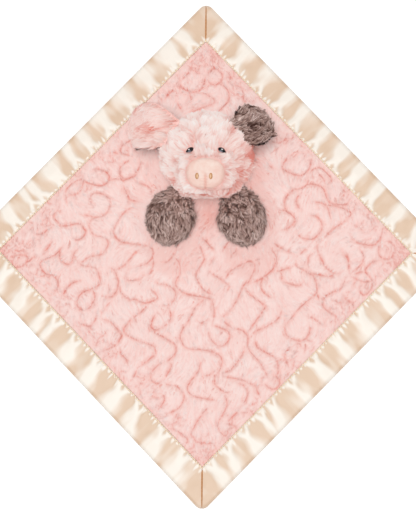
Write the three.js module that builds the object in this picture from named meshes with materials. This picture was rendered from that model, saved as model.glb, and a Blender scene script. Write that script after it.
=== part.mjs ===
// Comfort blanket with a stuffed pig's head and two stuffed arms, lying flat on a table.
// Millimetres. X runs to the right, Y towards the blanket's top corner, Z up from the table.
// The origin lies under the middle of the blanket, on the table.
import * as THREE from 'three';

// Blanket
const blanketHalfWidth = 229.4;
const blanketHalfHeight = 237.0;
const tipRadius = 8.0;
const liningThickness = 0.8;
const plushThickness = 5.6;
const plushEdgeThickness = 2.4;
const seamLap = 1.5;
const rampLength = 9.0;
const seamGap = 0.3;

// Satin binding, folded round the blanket's edge and pleated on top
const upperBindingWidth = 25.5;
const lowerBindingWidth = 27.8;
const satinThickness = 0.8;
const foldRun = 3.0;
const pleatPitch = 19.4;
const pleatRise = 1.5;

// Folds that spread in the plush below the neck
const neckFoldDepth = 1.8;
const neckFoldReach = 95.0;

// Head
const headCentreX = 2.5;
const headCentreY = 88.0;
const headHalfWidth = 41.5;
const headHalfHeight = 37.0;
const headHalfDepth = 29.0;
const headSeatHeight = 27.0;
const coverThickness = 2.4;
const stuffingClearance = 0.4;

// Muzzle and snout, whose middle lies below the head's
const muzzleDrop = 16.8;
const muzzleReach = 40.0;
const muzzleHalfWidth = 21.0;
const muzzleHalfHeight = 17.2;
const snoutHalfWidth = 17.8;
const snoutHalfHeight = 14.2;

// Embroidered eyes and nostrils
const eyeSpacing = 28.4;
const eyeDrop = 1.0;
const eyeHalfLength = 3.7;
const eyeHalfWidth = 2.9;
const nostrilSpacing = 11.8;
const nostrilDrop = 2.2;
const nostrilAside = 1.2;
const nostrilHalfWidth = 1.5;
const nostrilHalfHeight = 2.7;
const embroideryThickness = 0.9;
const embroiderySeat = 0.55;

// Neck, where the head is sewn to the blanket
const neckHalfWidth = 14.0;
const neckHalfDepth = 5.5;
const neckWall = 1.8;
const neckCentreY = 63.2;

// Ears
const earPanelThickness = 2.5;
const earEdgeThickness = 1.0;
const leftEarLength = 39.5;
const leftEarHalfWidth = 21.0;
const leftEarDrop = 27.0;
const leftEarCup = 9.0;
const rightEarLength = 29.5;
const rightEarHalfWidth = 19.2;
const rightEarDrop = 22.0;
const rightEarCup = 4.0;

// Arms
const armHalfWidth = 21.0;
const armHalfHeight = 12.5;
const shoulderHalfWidth = 9.0;
const shoulderHalfHeight = 3.4;
const leftShoulder = [-17.0, 61.0];
const leftElbow = [-31.0, 44.0];
const leftPawEnd = [-34.0, 8.5];
const rightShoulder = [21.0, 60.0];
const rightElbow = [36.0, 44.0];
const rightPawEnd = [38.0, 8.5];

// Angles
const muzzleTilt = THREE.MathUtils.degToRad(9);
const backSeamAngle = THREE.MathUtils.degToRad(104);
const eyeSlant = THREE.MathUtils.degToRad(24);
const neckFoldPitch = THREE.MathUtils.degToRad(27);
const leftEarRootBearing = THREE.MathUtils.degToRad(153);
const leftEarTipBearing = THREE.MathUtils.degToRad(191);
const rightEarRootBearing = THREE.MathUtils.degToRad(27);
const rightEarTipBearing = THREE.MathUtils.degToRad(44);

// Levels above the table, worked out from the layers
const plushSeat = liningThickness + seamGap;
const blanketTop = plushSeat + plushThickness;
const liningEdgeSeat = satinThickness + seamGap;
const plushEdgeSeat = liningEdgeSeat + liningThickness + seamGap;
const bindingTop = plushEdgeSeat + plushEdgeThickness + seamGap + satinThickness;
const restingLevel = blanketTop + seamGap;

// The panels end where the pressed fold is fully open, also at the rounded tips
const tipCutDepth = tipRadius * (1 - Math.SQRT1_2);
const panelInset = foldRun + tipCutDepth + seamGap;

// The blanket is a diamond: its sides, and the distance between two opposite sides
const sideLength = Math.hypot(blanketHalfWidth, blanketHalfHeight);
const cornerSine = (2 * blanketHalfWidth * blanketHalfHeight) / sideLength ** 2;
const span = sideLength * cornerSine;
const skullCentre = new THREE.Vector3(headCentreX, headCentreY, restingLevel + headSeatHeight);
const muzzleCentre = skullCentre.clone().sub(new THREE.Vector3(0, muzzleDrop, 0));

// Axes of the muzzle: across the face, up the face, and out through the snout
const faceAcross = new THREE.Vector3(1, 0, 0);
const faceUp = new THREE.Vector3(0, Math.cos(muzzleTilt), Math.sin(muzzleTilt));
const faceOut = new THREE.Vector3(0, -Math.sin(muzzleTilt), Math.cos(muzzleTilt));

// How square the muzzle's front is, and how tightly it joins the skull
const muzzleBluntness = 6;
const skullBlend = 9;
const muzzleRootShare = 0.4;

// Pleats: how far they lean, and how high they stand halfway across the binding
const pleatLeanShare = 0.2;
const pleatMiddleShare = 0.75;
const bindingMiddleShare = 0.5;

// Embroidery: how much lower it lies at its rim, and how pointed an eye's corners are
const embroideryFallShare = 0.6;
const eyePinchShare = 0.25;

// Where an ear leaves the head, as shares of one step from the head's middle
const rootAcrossShare = 0.84;
const leftRootUpShare = 0.44;
const leftRootOutShare = 0.3;
const rightRootUpShare = 0.49;
const rightRootOutShare = 0.41;

// Along an ear: where it is widest, how wide its root is, and where it is clear of its root
// seam, which follows the head
const earWidestShare = 0.42;
const earRootShare = 0.66;
const earFreeShare = 0.33;
const earSideSharpness = 3;
const earTipSharpness = 4;

// Along an arm: where the paw is widest, how high its tip ends, how deep the arm sits, and
// how round the paw ends
const pawShare = 0.6;
const pawHeightShare = 0.65;
const armSeatShare = 0.92;
const pawRoundness = 2.4;

// Stations at which the surfaces are worked out
const foldedFieldShares = [0.34, 0.74];
const foldedFieldSteps = 11;
const plainFieldSteps = 3;
const liningSteps = 2;
const pleatSteps = 4;
const headColumns = 24;
const snoutRowShares = [0, 0.4, 0.75, 1];
const faceRowShares = [0, 0.045, 0.11, 0.175, 0.235, 0.295, 0.37, 0.54, 0.76, 1];
const backRows = 4;
const embroideryColumns = 12;
const embroideryRowShares = [0, 0.6, 1];
const neckColumns = 20;
const neckRows = 2;
const earColumns = 8;
const earRows = 7;
const armColumns = 12;
const armRowShares = [0, 0.15, 0.3, 0.45, pawShare, 0.76, 0.87, 0.95, 1];

// Points that share a cell of this size are one point; the shift keeps round lengths away
// from the cells' walls
const sameWithin = 0.0005;
const cellShift = 1 / 3;
const bisections = 30;

const plushFinish = { color: 0xf3cdc8, roughness: 0.95, metalness: 0 };
const liningFinish = { color: 0xf0c4be, roughness: 0.9, metalness: 0 };
const satinFinish = { color: 0xf2e4d0, roughness: 0.35, metalness: 0 };
const faceFinish = { color: 0xf6d8d2, roughness: 0.95, metalness: 0 };
const snoutFinish = { color: 0xf5d9c8, roughness: 0.85, metalness: 0 };
const taupeFinish = { color: 0x9b8781, roughness: 0.95, metalness: 0 };
const eyeFinish = { color: 0x17161b, roughness: 0.5, metalness: 0 };
const nostrilFinish = { color: 0xd9a073, roughness: 0.7, metalness: 0 };
const stuffingFinish = { color: 0xf6f3ee, roughness: 1, metalness: 0 };

const lovey = new THREE.Group();

function addPiece(name, geometry, finish) {
  const mesh = new THREE.Mesh(geometry, new THREE.MeshStandardMaterial(finish));
  mesh.name = name;
  lovey.add(mesh);
}

// Collects points, sharing those that coincide, and triangles, leaving out those with no area
class Skin {
  constructor() {
    this.positions = [];
    this.triangles = [];
    this.known = new Map();
  }

  point(place) {
    const key = place.toArray().map((value) => Math.floor(value / sameWithin + cellShift)).join();
    if (!this.known.has(key)) {
      this.known.set(key, this.known.size);
      this.positions.push(...place.toArray());
    }
    return this.known.get(key);
  }

  triangle(a, b, c) {
    if (a !== b && b !== c && c !== a) {
      this.triangles.push(a, b, c);
    }
  }

  quad(a, b, c, d) {
    this.triangle(a, b, c);
    this.triangle(a, c, d);
  }

  volume() {
    const corners = [new THREE.Vector3(), new THREE.Vector3(), new THREE.Vector3()];
    let sum = 0;
    for (let i = 0; i < this.triangles.length; i += corners.length) {
      corners.forEach((corner, k) => corner.fromArray(this.positions, this.triangles[i + k] * 3));
      sum += corners[0].dot(corners[1].cross(corners[2]));
    }
    return sum;
  }

  geometry() {
    const outward = this.volume() > 0 ? this.triangles : this.triangles.toReversed();
    const geometry = new THREE.BufferGeometry();
    geometry.setAttribute('position', new THREE.Float32BufferAttribute(this.positions, 3));
    geometry.setIndex(outward);
    geometry.computeVertexNormals();
    return geometry;
  }
}

// The points of a surface over a grid of stations; a wrapped grid's last column is its first
function gridOf(skin, surface, columns, rows, wrapped) {
  const last = columns.length - 1;
  const stationOf = (i) => (wrapped && i === last ? columns[0] : columns[i]);
  return rows.map((v) => columns.map((_, i) => skin.point(surface(stationOf(i), v))));
}

// A sheet with thickness: two surfaces over one grid of stations, joined round their rims.
// A wrapped sheet closes on itself along u and has rims only at its two ends in v.
function sheet(outer, inner, columns, rows, wrapped = false) {
  const skin = new Skin();
  const top = gridOf(skin, outer, columns, rows, wrapped);
  const bottom = gridOf(skin, inner, columns, rows, wrapped);
  const lastRow = rows.length - 1;
  const lastColumn = columns.length - 1;
  for (let j = 0; j < lastRow; j += 1) {
    for (let i = 0; i < lastColumn; i += 1) {
      skin.quad(top[j][i], top[j][i + 1], top[j + 1][i + 1], top[j + 1][i]);
      skin.quad(bottom[j][i], bottom[j + 1][i], bottom[j + 1][i + 1], bottom[j][i + 1]);
    }
  }
  for (let i = 0; i < lastColumn; i += 1) {
    skin.quad(top[0][i], bottom[0][i], bottom[0][i + 1], top[0][i + 1]);
    skin.quad(top[lastRow][i], top[lastRow][i + 1], bottom[lastRow][i + 1], bottom[lastRow][i]);
  }
  for (let j = 0; j < lastRow && !wrapped; j += 1) {
    skin.quad(top[j][0], top[j + 1][0], bottom[j + 1][0], bottom[j][0]);
    skin.quad(top[j][lastColumn], bottom[j][lastColumn], bottom[j + 1][lastColumn], top[j + 1][lastColumn]);
  }
  return skin.geometry();
}

// A body whose first and last rows shrink to a point each
function ball(surface, columns, rows) {
  const skin = new Skin();
  const grid = gridOf(skin, surface, columns, rows, true);
  for (let j = 0; j < rows.length - 1; j += 1) {
    for (let i = 0; i < columns.length - 1; i += 1) {
      skin.quad(grid[j][i], grid[j][i + 1], grid[j + 1][i + 1], grid[j + 1][i]);
    }
  }
  return skin.geometry();
}

function even(count, from = 0, to = 1) {
  return Array.from({ length: count + 1 }, (_, i) => from + ((to - from) * i) / count);
}

function ease(share) {
  return THREE.MathUtils.smoothstep(share, 0, 1);
}

// A place on the diamond, by its distances from the lower left and the lower right edge
function onBlanket(fromLowerLeft, fromLowerRight, level) {
  const rightward = fromLowerLeft / cornerSine / sideLength;
  const leftward = fromLowerRight / cornerSine / sideLength;
  const x = (rightward - leftward) * blanketHalfWidth;
  const y = (rightward + leftward - 1) * blanketHalfHeight;
  return new THREE.Vector3(x, y, level);
}

// 0 where the binding holds the panels, rising to 1 in the open field
function fieldShare(fromLowerLeft, fromLowerRight) {
  const inner = Math.min(fromLowerLeft, fromLowerRight) - lowerBindingWidth;
  const outer = span - Math.max(fromLowerLeft, fromLowerRight) - upperBindingWidth;
  const run = (Math.min(inner, outer) - seamLap) / rampLength;
  return Math.sin((THREE.MathUtils.clamp(run, 0, 1) * Math.PI) / 2);
}

// Depth of the creases that fan out below the neck
function neckFold(x, y) {
  const away = Math.hypot(x - headCentreX, y - neckCentreY);
  const turn = Math.atan2(x - headCentreX, neckCentreY - y);
  const reach = Math.sin(Math.PI * THREE.MathUtils.clamp(away / neckFoldReach, 0, 1));
  const fan = Math.cos(THREE.MathUtils.clamp(turn, -Math.PI / 2, Math.PI / 2));
  return neckFoldDepth * reach * fan * (0.5 + 0.5 * Math.cos((2 * Math.PI * turn) / neckFoldPitch));
}

// Stations across the diamond: the held edge, the ramp, and the field, closer together
// where the neck folds are
function stations(fieldShares) {
  const low = lowerBindingWidth + seamLap;
  const high = span - upperBindingWidth - seamLap;
  const field = fieldShares.map((share) => low + rampLength + share * (high - low - 2 * rampLength));
  const lowEdge = [panelInset, low, low + rampLength / 2];
  const highEdge = [high - rampLength / 2, high, span - panelInset];
  return [...lowEdge, ...field, ...highEdge];
}

function makeFrontPlushPanel() {
  const [foldsFrom, foldsTo] = foldedFieldShares;
  const lower = even(plainFieldSteps, 0, foldsFrom).slice(0, -1);
  const middle = even(foldedFieldSteps, foldsFrom, foldsTo);
  const upper = even(plainFieldSteps, foldsTo, 1).slice(1);
  const lines = stations([...lower, ...middle, ...upper]);
  const seat = (a, b) => THREE.MathUtils.lerp(plushEdgeSeat, plushSeat, fieldShare(a, b));
  const under = (a, b) => onBlanket(a, b, seat(a, b));
  const over = (a, b) => {
    const place = under(a, b);
    place.z += THREE.MathUtils.lerp(plushEdgeThickness, plushThickness, fieldShare(a, b));
    place.z -= neckFold(place.x, place.y) * fieldShare(a, b);
    return place;
  };
  addPiece('front_plush_panel', sheet(over, under, lines, lines), plushFinish);
}

function makeBackLiningPanel() {
  const lines = stations(even(liningSteps));
  const seat = (a, b) => THREE.MathUtils.lerp(liningEdgeSeat, 0, fieldShare(a, b));
  const under = (a, b) => onBlanket(a, b, seat(a, b));
  const over = (a, b) => onBlanket(a, b, seat(a, b) + liningThickness);
  addPiece('back_lining_panel', sheet(over, under, lines, lines), liningFinish);
}

// One side's binding. `along` runs from its first corner to its second and `inward` is the
// distance from the blanket's edge; `locate` turns both into a place on the diamond.
function makeBinding(name, width, firstWidth, lastWidth, locate) {
  const mitreGap = seamGap * Math.SQRT1_2;
  const pleats = Math.round(span / pleatPitch);
  const foldShare = foldRun / width;
  const creaseShare = (satinThickness * Math.SQRT2) / width;
  const middleLevel = bindingTop / 2;
  const underTop = bindingTop - satinThickness;
  const row = (outerShare, innerShare, outerLevel, innerLevel, pleatShare) => (
    { outerShare, innerShare, outerLevel, innerLevel, pleatShare }
  );
  const profile = [
    row(1, 1, 0, satinThickness, 0),
    row(foldShare, foldShare, 0, satinThickness, 0),
    row(0, creaseShare, middleLevel, middleLevel, 0),
    row(foldShare, foldShare, bindingTop, underTop, 0),
    row(bindingMiddleShare, bindingMiddleShare, bindingTop, underTop, pleatMiddleShare),
    row(1, 1, bindingTop, underTop, 1),
  ];
  const place = (run, across, level, pleatShare) => {
    const outerAlong = THREE.MathUtils.lerp(tipCutDepth + mitreGap, span - tipCutDepth - mitreGap, run);
    const toTip = Math.min(outerAlong, span - outerAlong, tipRadius);
    const tipCut = tipRadius - Math.sqrt(tipRadius ** 2 - (tipRadius - toTip) ** 2);
    const innerAlong = THREE.MathUtils.lerp(firstWidth + mitreGap, span - lastWidth - mitreGap, run);
    const along = THREE.MathUtils.lerp(outerAlong, innerAlong, across);
    const inward = THREE.MathUtils.lerp(tipCut, width, across);
    const swell = 0.5 - 0.5 * Math.cos(2 * Math.PI * (pleats * run - pleatLeanShare * across));
    const endShare = Math.min(1, pleats * run, pleats * (1 - run));
    return locate(along, inward, level + pleatRise * pleatShare * swell * endShare);
  };
  const corner = (run, i, side) => {
    const { pleatShare } = profile[i];
    return place(run, profile[i][`${side}Share`], profile[i][`${side}Level`], pleatShare);
  };
  const outer = (run, i) => corner(run, i, 'outer');
  const inner = (run, i) => corner(run, i, 'inner');
  addPiece(name, sheet(outer, inner, even(pleats * pleatSteps), [...profile.keys()]), satinFinish);
}

function makeBindings() {
  const upper = upperBindingWidth;
  const lower = lowerBindingWidth;
  makeBinding('binding_upper_right', upper, lower, upper, (a, d, z) => onBlanket(span - d, a, z));
  makeBinding('binding_upper_left', upper, lower, upper, (a, d, z) => onBlanket(a, span - d, z));
  makeBinding('binding_lower_right', lower, lower, upper, (a, d, z) => onBlanket(a, d, z));
  makeBinding('binding_lower_left', lower, lower, upper, (a, d, z) => onBlanket(d, a, z));
}

// How far the head reaches from the muzzle's middle in a direction: a skull, which is an
// ellipsoid, and a blunt muzzle, blended into one. `inset` takes every half size in.
function headReach(direction, inset) {
  const half = new THREE.Vector3(headHalfWidth, headHalfHeight, headHalfDepth).subScalar(inset);
  const ray = direction.clone().divide(half);
  const offset = new THREE.Vector3(0, muzzleDrop, 0).divide(half);
  const along = ray.dot(offset);
  const skull = (along + Math.sqrt(along ** 2 + ray.lengthSq() * (1 - offset.lengthSq()))) / ray.lengthSq();
  const ahead = direction.dot(faceOut);
  const out = ahead > 0 ? ahead / (muzzleReach - inset) : -ahead / (headHalfDepth * muzzleRootShare);
  const across = Math.abs(direction.dot(faceAcross)) / (muzzleHalfWidth - inset);
  const up = Math.abs(direction.dot(faceUp)) / (muzzleHalfHeight - inset);
  const powers = [out, across, up].map((share) => share ** muzzleBluntness);
  const muzzle = (powers[0] + powers[1] + powers[2]) ** (-1 / muzzleBluntness);
  return (skull ** skullBlend + muzzle ** skullBlend) ** (1 / skullBlend);
}

// A place on the head, flat where the head lies on the blanket
function onHead(direction, inset) {
  const place = muzzleCentre.clone().addScaledVector(direction, headReach(direction, inset));
  place.z = Math.max(place.z, restingLevel + inset);
  return place;
}

// Directions from the muzzle's middle: `turn` goes round the snout, `row` counts out from it.
// Rows 0 to 1 cover the snout, 1 to 2 the face and 2 to 3 the back of the head.
function headDirection(turn, row, edgeGap = 0) {
  const across = Math.cos(turn) * snoutHalfWidth;
  const up = Math.sin(turn) * snoutHalfHeight;
  const rim = Math.atan2(Math.hypot(across, up), muzzleReach);
  const aside = faceAcross.clone().multiplyScalar(across).addScaledVector(faceUp, up).normalize();
  const snoutRim = rim + edgeGap / muzzleReach;
  const backRim = backSeamAngle + edgeGap / headHalfDepth;
  let tilt = rim * row;
  if (row > 1) {
    tilt = THREE.MathUtils.lerp(snoutRim, backSeamAngle, row - 1);
  }
  if (row > 2) {
    tilt = THREE.MathUtils.lerp(backRim, Math.PI, row - 2);
  }
  return aside.multiplyScalar(Math.sin(tilt)).addScaledVector(faceOut, Math.cos(tilt));
}

function makeHeadPanels() {
  const outer = (turn, row) => onHead(headDirection(turn, row, seamGap), 0);
  const inner = (turn, row) => onHead(headDirection(turn, row, seamGap), coverThickness);
  const shifted = (surface, step) => (turn, row) => surface(turn, row).add(new THREE.Vector3(step, 0, 0));
  const onwards = 1e-6;
  const round = even(headColumns, -Math.PI / 2, 1.5 * Math.PI);
  const rightHalf = even(headColumns / 2, -Math.PI / 2, Math.PI / 2);
  const leftHalf = even(headColumns / 2, Math.PI / 2, 1.5 * Math.PI);
  const faceRows = faceRowShares.map((share) => 1 + Math.max(share, onwards));
  const step = seamGap / 2;
  const panel = (shift, half) => sheet(shifted(outer, shift), shifted(inner, shift), half, faceRows);
  addPiece('head_right_panel', panel(step, rightHalf), faceFinish);
  addPiece('head_left_panel', panel(-step, leftHalf), faceFinish);
  const backOfHead = even(backRows, 2 + onwards, 3);
  addPiece('head_back_panel', sheet(outer, inner, round, backOfHead, true), faceFinish);
  addPiece('snout_panel', sheet(outer, inner, round, snoutRowShares, true), snoutFinish);
  const filling = (turn, row) => onHead(headDirection(turn, row), coverThickness + stuffingClearance);
  const faceFillRows = faceRowShares.slice(1).map((share) => 1 + share);
  const rows = [...snoutRowShares, ...faceFillRows, ...even(backRows, 2, 3).slice(1)];
  addPiece('head_stuffing', ball(filling, round, rows), stuffingFinish);
}

// A patch of embroidery that follows the head under it: a dome over an outline
function makeEmbroidery(name, middle, right, up, outline, finish) {
  const lift = (turn, share, level) => {
    const [across, along] = outline(turn);
    const target = middle.clone().addScaledVector(right, across * share).addScaledVector(up, along * share);
    const direction = target.sub(muzzleCentre).normalize();
    return onHead(direction, 0).addScaledVector(direction, level);
  };
  const dome = (share) => embroideryThickness * (1 - embroideryFallShare * share ** 2);
  const over = (turn, share) => lift(turn, share, embroiderySeat + dome(share));
  const under = (turn, share) => lift(turn, share, embroiderySeat);
  const round = even(embroideryColumns, 0, 2 * Math.PI);
  addPiece(name, sheet(over, under, round, embroideryRowShares, true), finish);
}

function makeEyes() {
  [['eye_left', -1], ['eye_right', 1]].forEach(([name, side]) => {
    const aim = new THREE.Vector3((side * eyeSpacing) / 2, muzzleDrop - eyeDrop, headHalfDepth).normalize();
    const middle = onHead(aim, 0);
    const along = new THREE.Vector3(Math.cos(eyeSlant), -side * Math.sin(eyeSlant), 0);
    const across = new THREE.Vector3(side * Math.sin(eyeSlant), Math.cos(eyeSlant), 0);
    const almond = (turn) => [
      eyeHalfLength * Math.cos(turn),
      eyeHalfWidth * Math.sin(turn) * (1 - eyePinchShare * Math.cos(turn) ** 2),
    ];
    makeEmbroidery(name, middle, along, across, almond, eyeFinish);
  });
}

function makeNostrils() {
  [['nostril_left', -1], ['nostril_right', 1]].forEach(([name, side]) => {
    const middle = muzzleCentre.clone()
      .addScaledVector(faceOut, muzzleReach)
      .addScaledVector(faceAcross, (side * nostrilSpacing) / 2 - nostrilAside)
      .addScaledVector(faceUp, -nostrilDrop);
    const oval = (turn) => [nostrilHalfWidth * Math.cos(turn), nostrilHalfHeight * Math.sin(turn)];
    makeEmbroidery(name, middle, faceAcross, faceUp, oval, nostrilFinish);
  });
}

// A short sleeve from a ring on the blanket up to the underside of the head
function makeNeckTube() {
  const sleeve = (turn, share, inset) => {
    const foot = new THREE.Vector3(
      headCentreX + (neckHalfWidth - inset) * Math.cos(turn),
      neckCentreY + (neckHalfDepth - inset) * Math.sin(turn),
      restingLevel,
    );
    const dy = (foot.y - headCentreY) / headHalfHeight;
    const dx = (foot.x - headCentreX) / headHalfWidth;
    const underside = skullCentre.z - headHalfDepth * Math.sqrt(1 - dx ** 2 - dy ** 2);
    foot.z = THREE.MathUtils.lerp(restingLevel, underside - 2 * seamGap, share);
    return foot;
  };
  const outer = (turn, share) => sleeve(turn, share, 0);
  const inner = (turn, share) => sleeve(turn, share, neckWall);
  const round = even(neckColumns, 0, 2 * Math.PI);
  addPiece('neck_tube', sheet(outer, inner, round, even(neckRows), true), faceFinish);
}

// Width of an ear at a share of its length: widest just short of the middle
function leafShare(share) {
  if (share < earWidestShare) {
    return THREE.MathUtils.lerp(earRootShare, 1, ease(share / earWidestShare));
  }
  return Math.sqrt(Math.max(0, 1 - ((share - earWidestShare) / (1 - earWidestShare)) ** 2));
}

// How far a place lies outside the head's surface, seen from the muzzle's middle
function headClearance(place) {
  const ray = place.clone().sub(muzzleCentre);
  const distance = ray.length();
  return distance - headReach(ray.divideScalar(distance), 0);
}

// The step along `outwards` that takes a place to the seam gap from the head
function stepToHead(place, outwards) {
  let inside = -headHalfWidth;
  let outside = headHalfWidth;
  for (let round = 0; round < bisections; round += 1) {
    const step = (inside + outside) / 2;
    const clear = headClearance(place.clone().addScaledVector(outwards, step)) > seamGap;
    inside = clear ? inside : step;
    outside = clear ? step : outside;
  }
  return outside;
}

function bearingStep(bearing, length) {
  return new THREE.Vector3(Math.cos(bearing), Math.sin(bearing), 0).multiplyScalar(length);
}

// An ear of two panels sewn back to back. It leaves the head square to its root, turns
// towards its tip's bearing, drops towards the blanket, and its sides rise like a cup.
function makeEar(word, rootAim, rootBearing, tipBearing, length, halfWidth, drop, cup, finish) {
  const bend = bearingStep(rootBearing, length / 2);
  const tip = bend.clone().add(bearingStep(tipBearing, length / 2));
  const route = new THREE.QuadraticBezierCurve3(new THREE.Vector3(), bend, tip);
  const half = seamGap / 2;
  const columns = even(earColumns, -1, 1);
  const thickness = (u, share) => {
    const edge = Math.max(Math.abs(u) ** earSideSharpness, share ** earTipSharpness);
    return THREE.MathUtils.lerp(earPanelThickness, earEdgeThickness, edge);
  };
  const skullHalf = new THREE.Vector3(headHalfWidth, headHalfHeight, headHalfDepth);
  const root = skullCentre.clone().addScaledVector(rootAim, 1 / rootAim.clone().divide(skullHalf).length());
  const loose = (u, share, level) => {
    const ahead = route.getTangent(share).multiplyScalar(length);
    const across = new THREE.Vector3(-ahead.y, ahead.x, 0).normalize();
    ahead.z -= 2 * drop * share;
    const normal = ahead.cross(across).normalize();
    const rise = cup * u ** 2 * leafShare(share) ** 2 * ease(share / earFreeShare);
    const place = route.getPoint(share).add(root)
      .addScaledVector(across, u * halfWidth * leafShare(share))
      .addScaledVector(normal, level + rise);
    place.z -= drop * share ** 2;
    return place;
  };
  const outwards = bearingStep(rootBearing, 1);
  const surface = (u, share, level) => {
    const seam = stepToHead(loose(u, 0, level), outwards) * (1 - ease(share / earFreeShare));
    return loose(u, share, level).addScaledVector(outwards, seam);
  };
  const front = (u, v) => surface(u, v, half);
  const frontFace = (u, v) => surface(u, v, half + thickness(u, v));
  const back = (u, v) => surface(u, v, -half);
  const backFace = (u, v) => surface(u, v, -half - thickness(u, v));
  addPiece(`ear_${word}_front`, sheet(frontFace, front, columns, even(earRows)), finish);
  addPiece(`ear_${word}_back`, sheet(back, backFace, columns, even(earRows)), finish);
}

// Size of an arm's section at a share of its length: it swells to the paw and ends round
function armShare(share, shoulderShare) {
  if (share < pawShare) {
    return THREE.MathUtils.lerp(shoulderShare, 1, ease(share / pawShare));
  }
  return Math.sqrt(Math.max(0, 1 - ((share - pawShare) / (1 - pawShare)) ** pawRoundness));
}

// An arm of one cover, open at the shoulder, and its stuffing. It lies flat on the blanket.
function makeArm(word, shoulder, elbow, pawEnd) {
  const rest = ([x, y]) => new THREE.Vector3(x, y, restingLevel);
  const [start, bend, end] = [shoulder, elbow, pawEnd].map(rest);
  const route = new THREE.QuadraticBezierCurve3(start, bend, end);
  const length = route.getLength();
  const height = (share) => armHalfHeight * armShare(share, shoulderHalfHeight / armHalfHeight);
  const axisHeight = (share) => {
    const low = share < pawShare ? 0 : 1 - pawHeightShare;
    return THREE.MathUtils.lerp(height(share), armHalfHeight * pawHeightShare, low) * armSeatShare;
  };
  const surface = (turn, share, inset) => {
    const reached = share * (1 - inset / length);
    const ahead = route.getTangent(reached);
    const aside = new THREE.Vector3(-ahead.y, ahead.x, 0).normalize();
    const halfWidth = (armHalfWidth - inset) * armShare(share, shoulderHalfWidth / armHalfWidth);
    const halfHeight = height(share) * (1 - inset / armHalfHeight);
    const place = route.getPoint(reached).addScaledVector(aside, halfWidth * Math.cos(turn));
    place.z += Math.max(inset, axisHeight(share) + halfHeight * Math.sin(turn));
    return place;
  };
  const columns = even(armColumns, 0, 2 * Math.PI);
  const outer = (turn, share) => surface(turn, share, 0);
  const inner = (turn, share) => surface(turn, share, coverThickness);
  addPiece(`arm_${word}_cover`, sheet(outer, inner, columns, armRowShares, true), taupeFinish);
  const filled = (turn, share) => surface(turn, share, coverThickness + stuffingClearance);
  const firstShare = armRowShares[1];
  const pole = filled(0, firstShare).add(filled(Math.PI, firstShare)).divideScalar(2);
  const closed = (turn, share) => (share > 0 ? filled(turn, share) : pole.clone());
  addPiece(`arm_${word}_stuffing`, ball(closed, columns, armRowShares), stuffingFinish);
}

makeFrontPlushPanel();
makeBackLiningPanel();
makeBindings();
makeHeadPanels();
makeEyes();
makeNostrils();
makeNeckTube();
const leftRootAim = new THREE.Vector3(-rootAcrossShare, leftRootUpShare, leftRootOutShare);
const rightRootAim = new THREE.Vector3(rootAcrossShare, rightRootUpShare, rightRootOutShare);
makeEar('left', leftRootAim, leftEarRootBearing, leftEarTipBearing, leftEarLength, leftEarHalfWidth,
  leftEarDrop, leftEarCup, faceFinish);
makeEar('right', rightRootAim, rightEarRootBearing, rightEarTipBearing, rightEarLength, rightEarHalfWidth,
  rightEarDrop, rightEarCup, taupeFinish);
makeArm('left', leftShoulder, leftElbow, leftPawEnd);
makeArm('right', rightShoulder, rightElbow, rightPawEnd);

export default lovey;
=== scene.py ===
"""Comfort blanket with a stuffed pig's head and two stuffed arms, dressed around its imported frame.

Lengths are millimetres until a mesh is made, and metres in Blender. X runs to the right, Y towards
the blanket's top corner and Z up from the table, with the origin under the blanket's middle.
"""

import bpy
import numpy as np
from bpy.props import FloatProperty, FloatVectorProperty, PointerProperty
from mathutils import Matrix, Vector


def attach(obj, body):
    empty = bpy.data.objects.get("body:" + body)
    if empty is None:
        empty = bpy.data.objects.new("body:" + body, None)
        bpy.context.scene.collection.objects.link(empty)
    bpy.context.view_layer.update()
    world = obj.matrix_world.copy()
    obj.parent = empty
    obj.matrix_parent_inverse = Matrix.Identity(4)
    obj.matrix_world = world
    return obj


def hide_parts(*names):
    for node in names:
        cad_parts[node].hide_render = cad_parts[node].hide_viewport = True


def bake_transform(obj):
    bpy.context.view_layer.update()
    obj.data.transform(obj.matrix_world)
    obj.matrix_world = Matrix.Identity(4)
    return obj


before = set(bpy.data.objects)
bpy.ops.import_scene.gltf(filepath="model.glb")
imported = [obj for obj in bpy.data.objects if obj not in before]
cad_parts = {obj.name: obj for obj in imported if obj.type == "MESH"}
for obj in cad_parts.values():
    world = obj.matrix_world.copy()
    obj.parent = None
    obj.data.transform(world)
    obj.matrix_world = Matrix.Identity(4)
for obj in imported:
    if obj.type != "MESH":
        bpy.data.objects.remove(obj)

bl_info = {
    "name": "Comfort Blanket Finish",
    "version": (1, 0, 0),
    "blender": (4, 5, 0),
    "location": "3D View > Sidebar > Lovey",
    "description": "Plush, satin and embroidery for a comfort blanket with a pig's head",
    "category": "Object",
}

MM = 0.001

# Blanket
HALF_WIDTH = 229.4
HALF_HEIGHT = 237.0
TIP_RADIUS = 8.0
LINING_THICKNESS = 0.8
PLUSH_THICKNESS = 5.6
PLUSH_EDGE_THICKNESS = 2.4
SEAM_LAP = 1.5
RAMP_LENGTH = 9.0
SEAM_GAP = 0.3
NECK_FOLD_DEPTH = 1.8
NECK_FOLD_REACH = 95.0
NECK_FOLD_PITCH = np.radians(27)

# Satin binding
UPPER_WIDTH = 25.5
LOWER_WIDTH = 27.8
SATIN_THICKNESS = 0.8
FOLD_RUN = 3.0
GATHER_PITCH = 4.6
GATHER_HALF_WIDTH = 1.5
ROOT_SPREAD = 4.4
ROOT_HALF_WIDTH = 2.1

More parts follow.
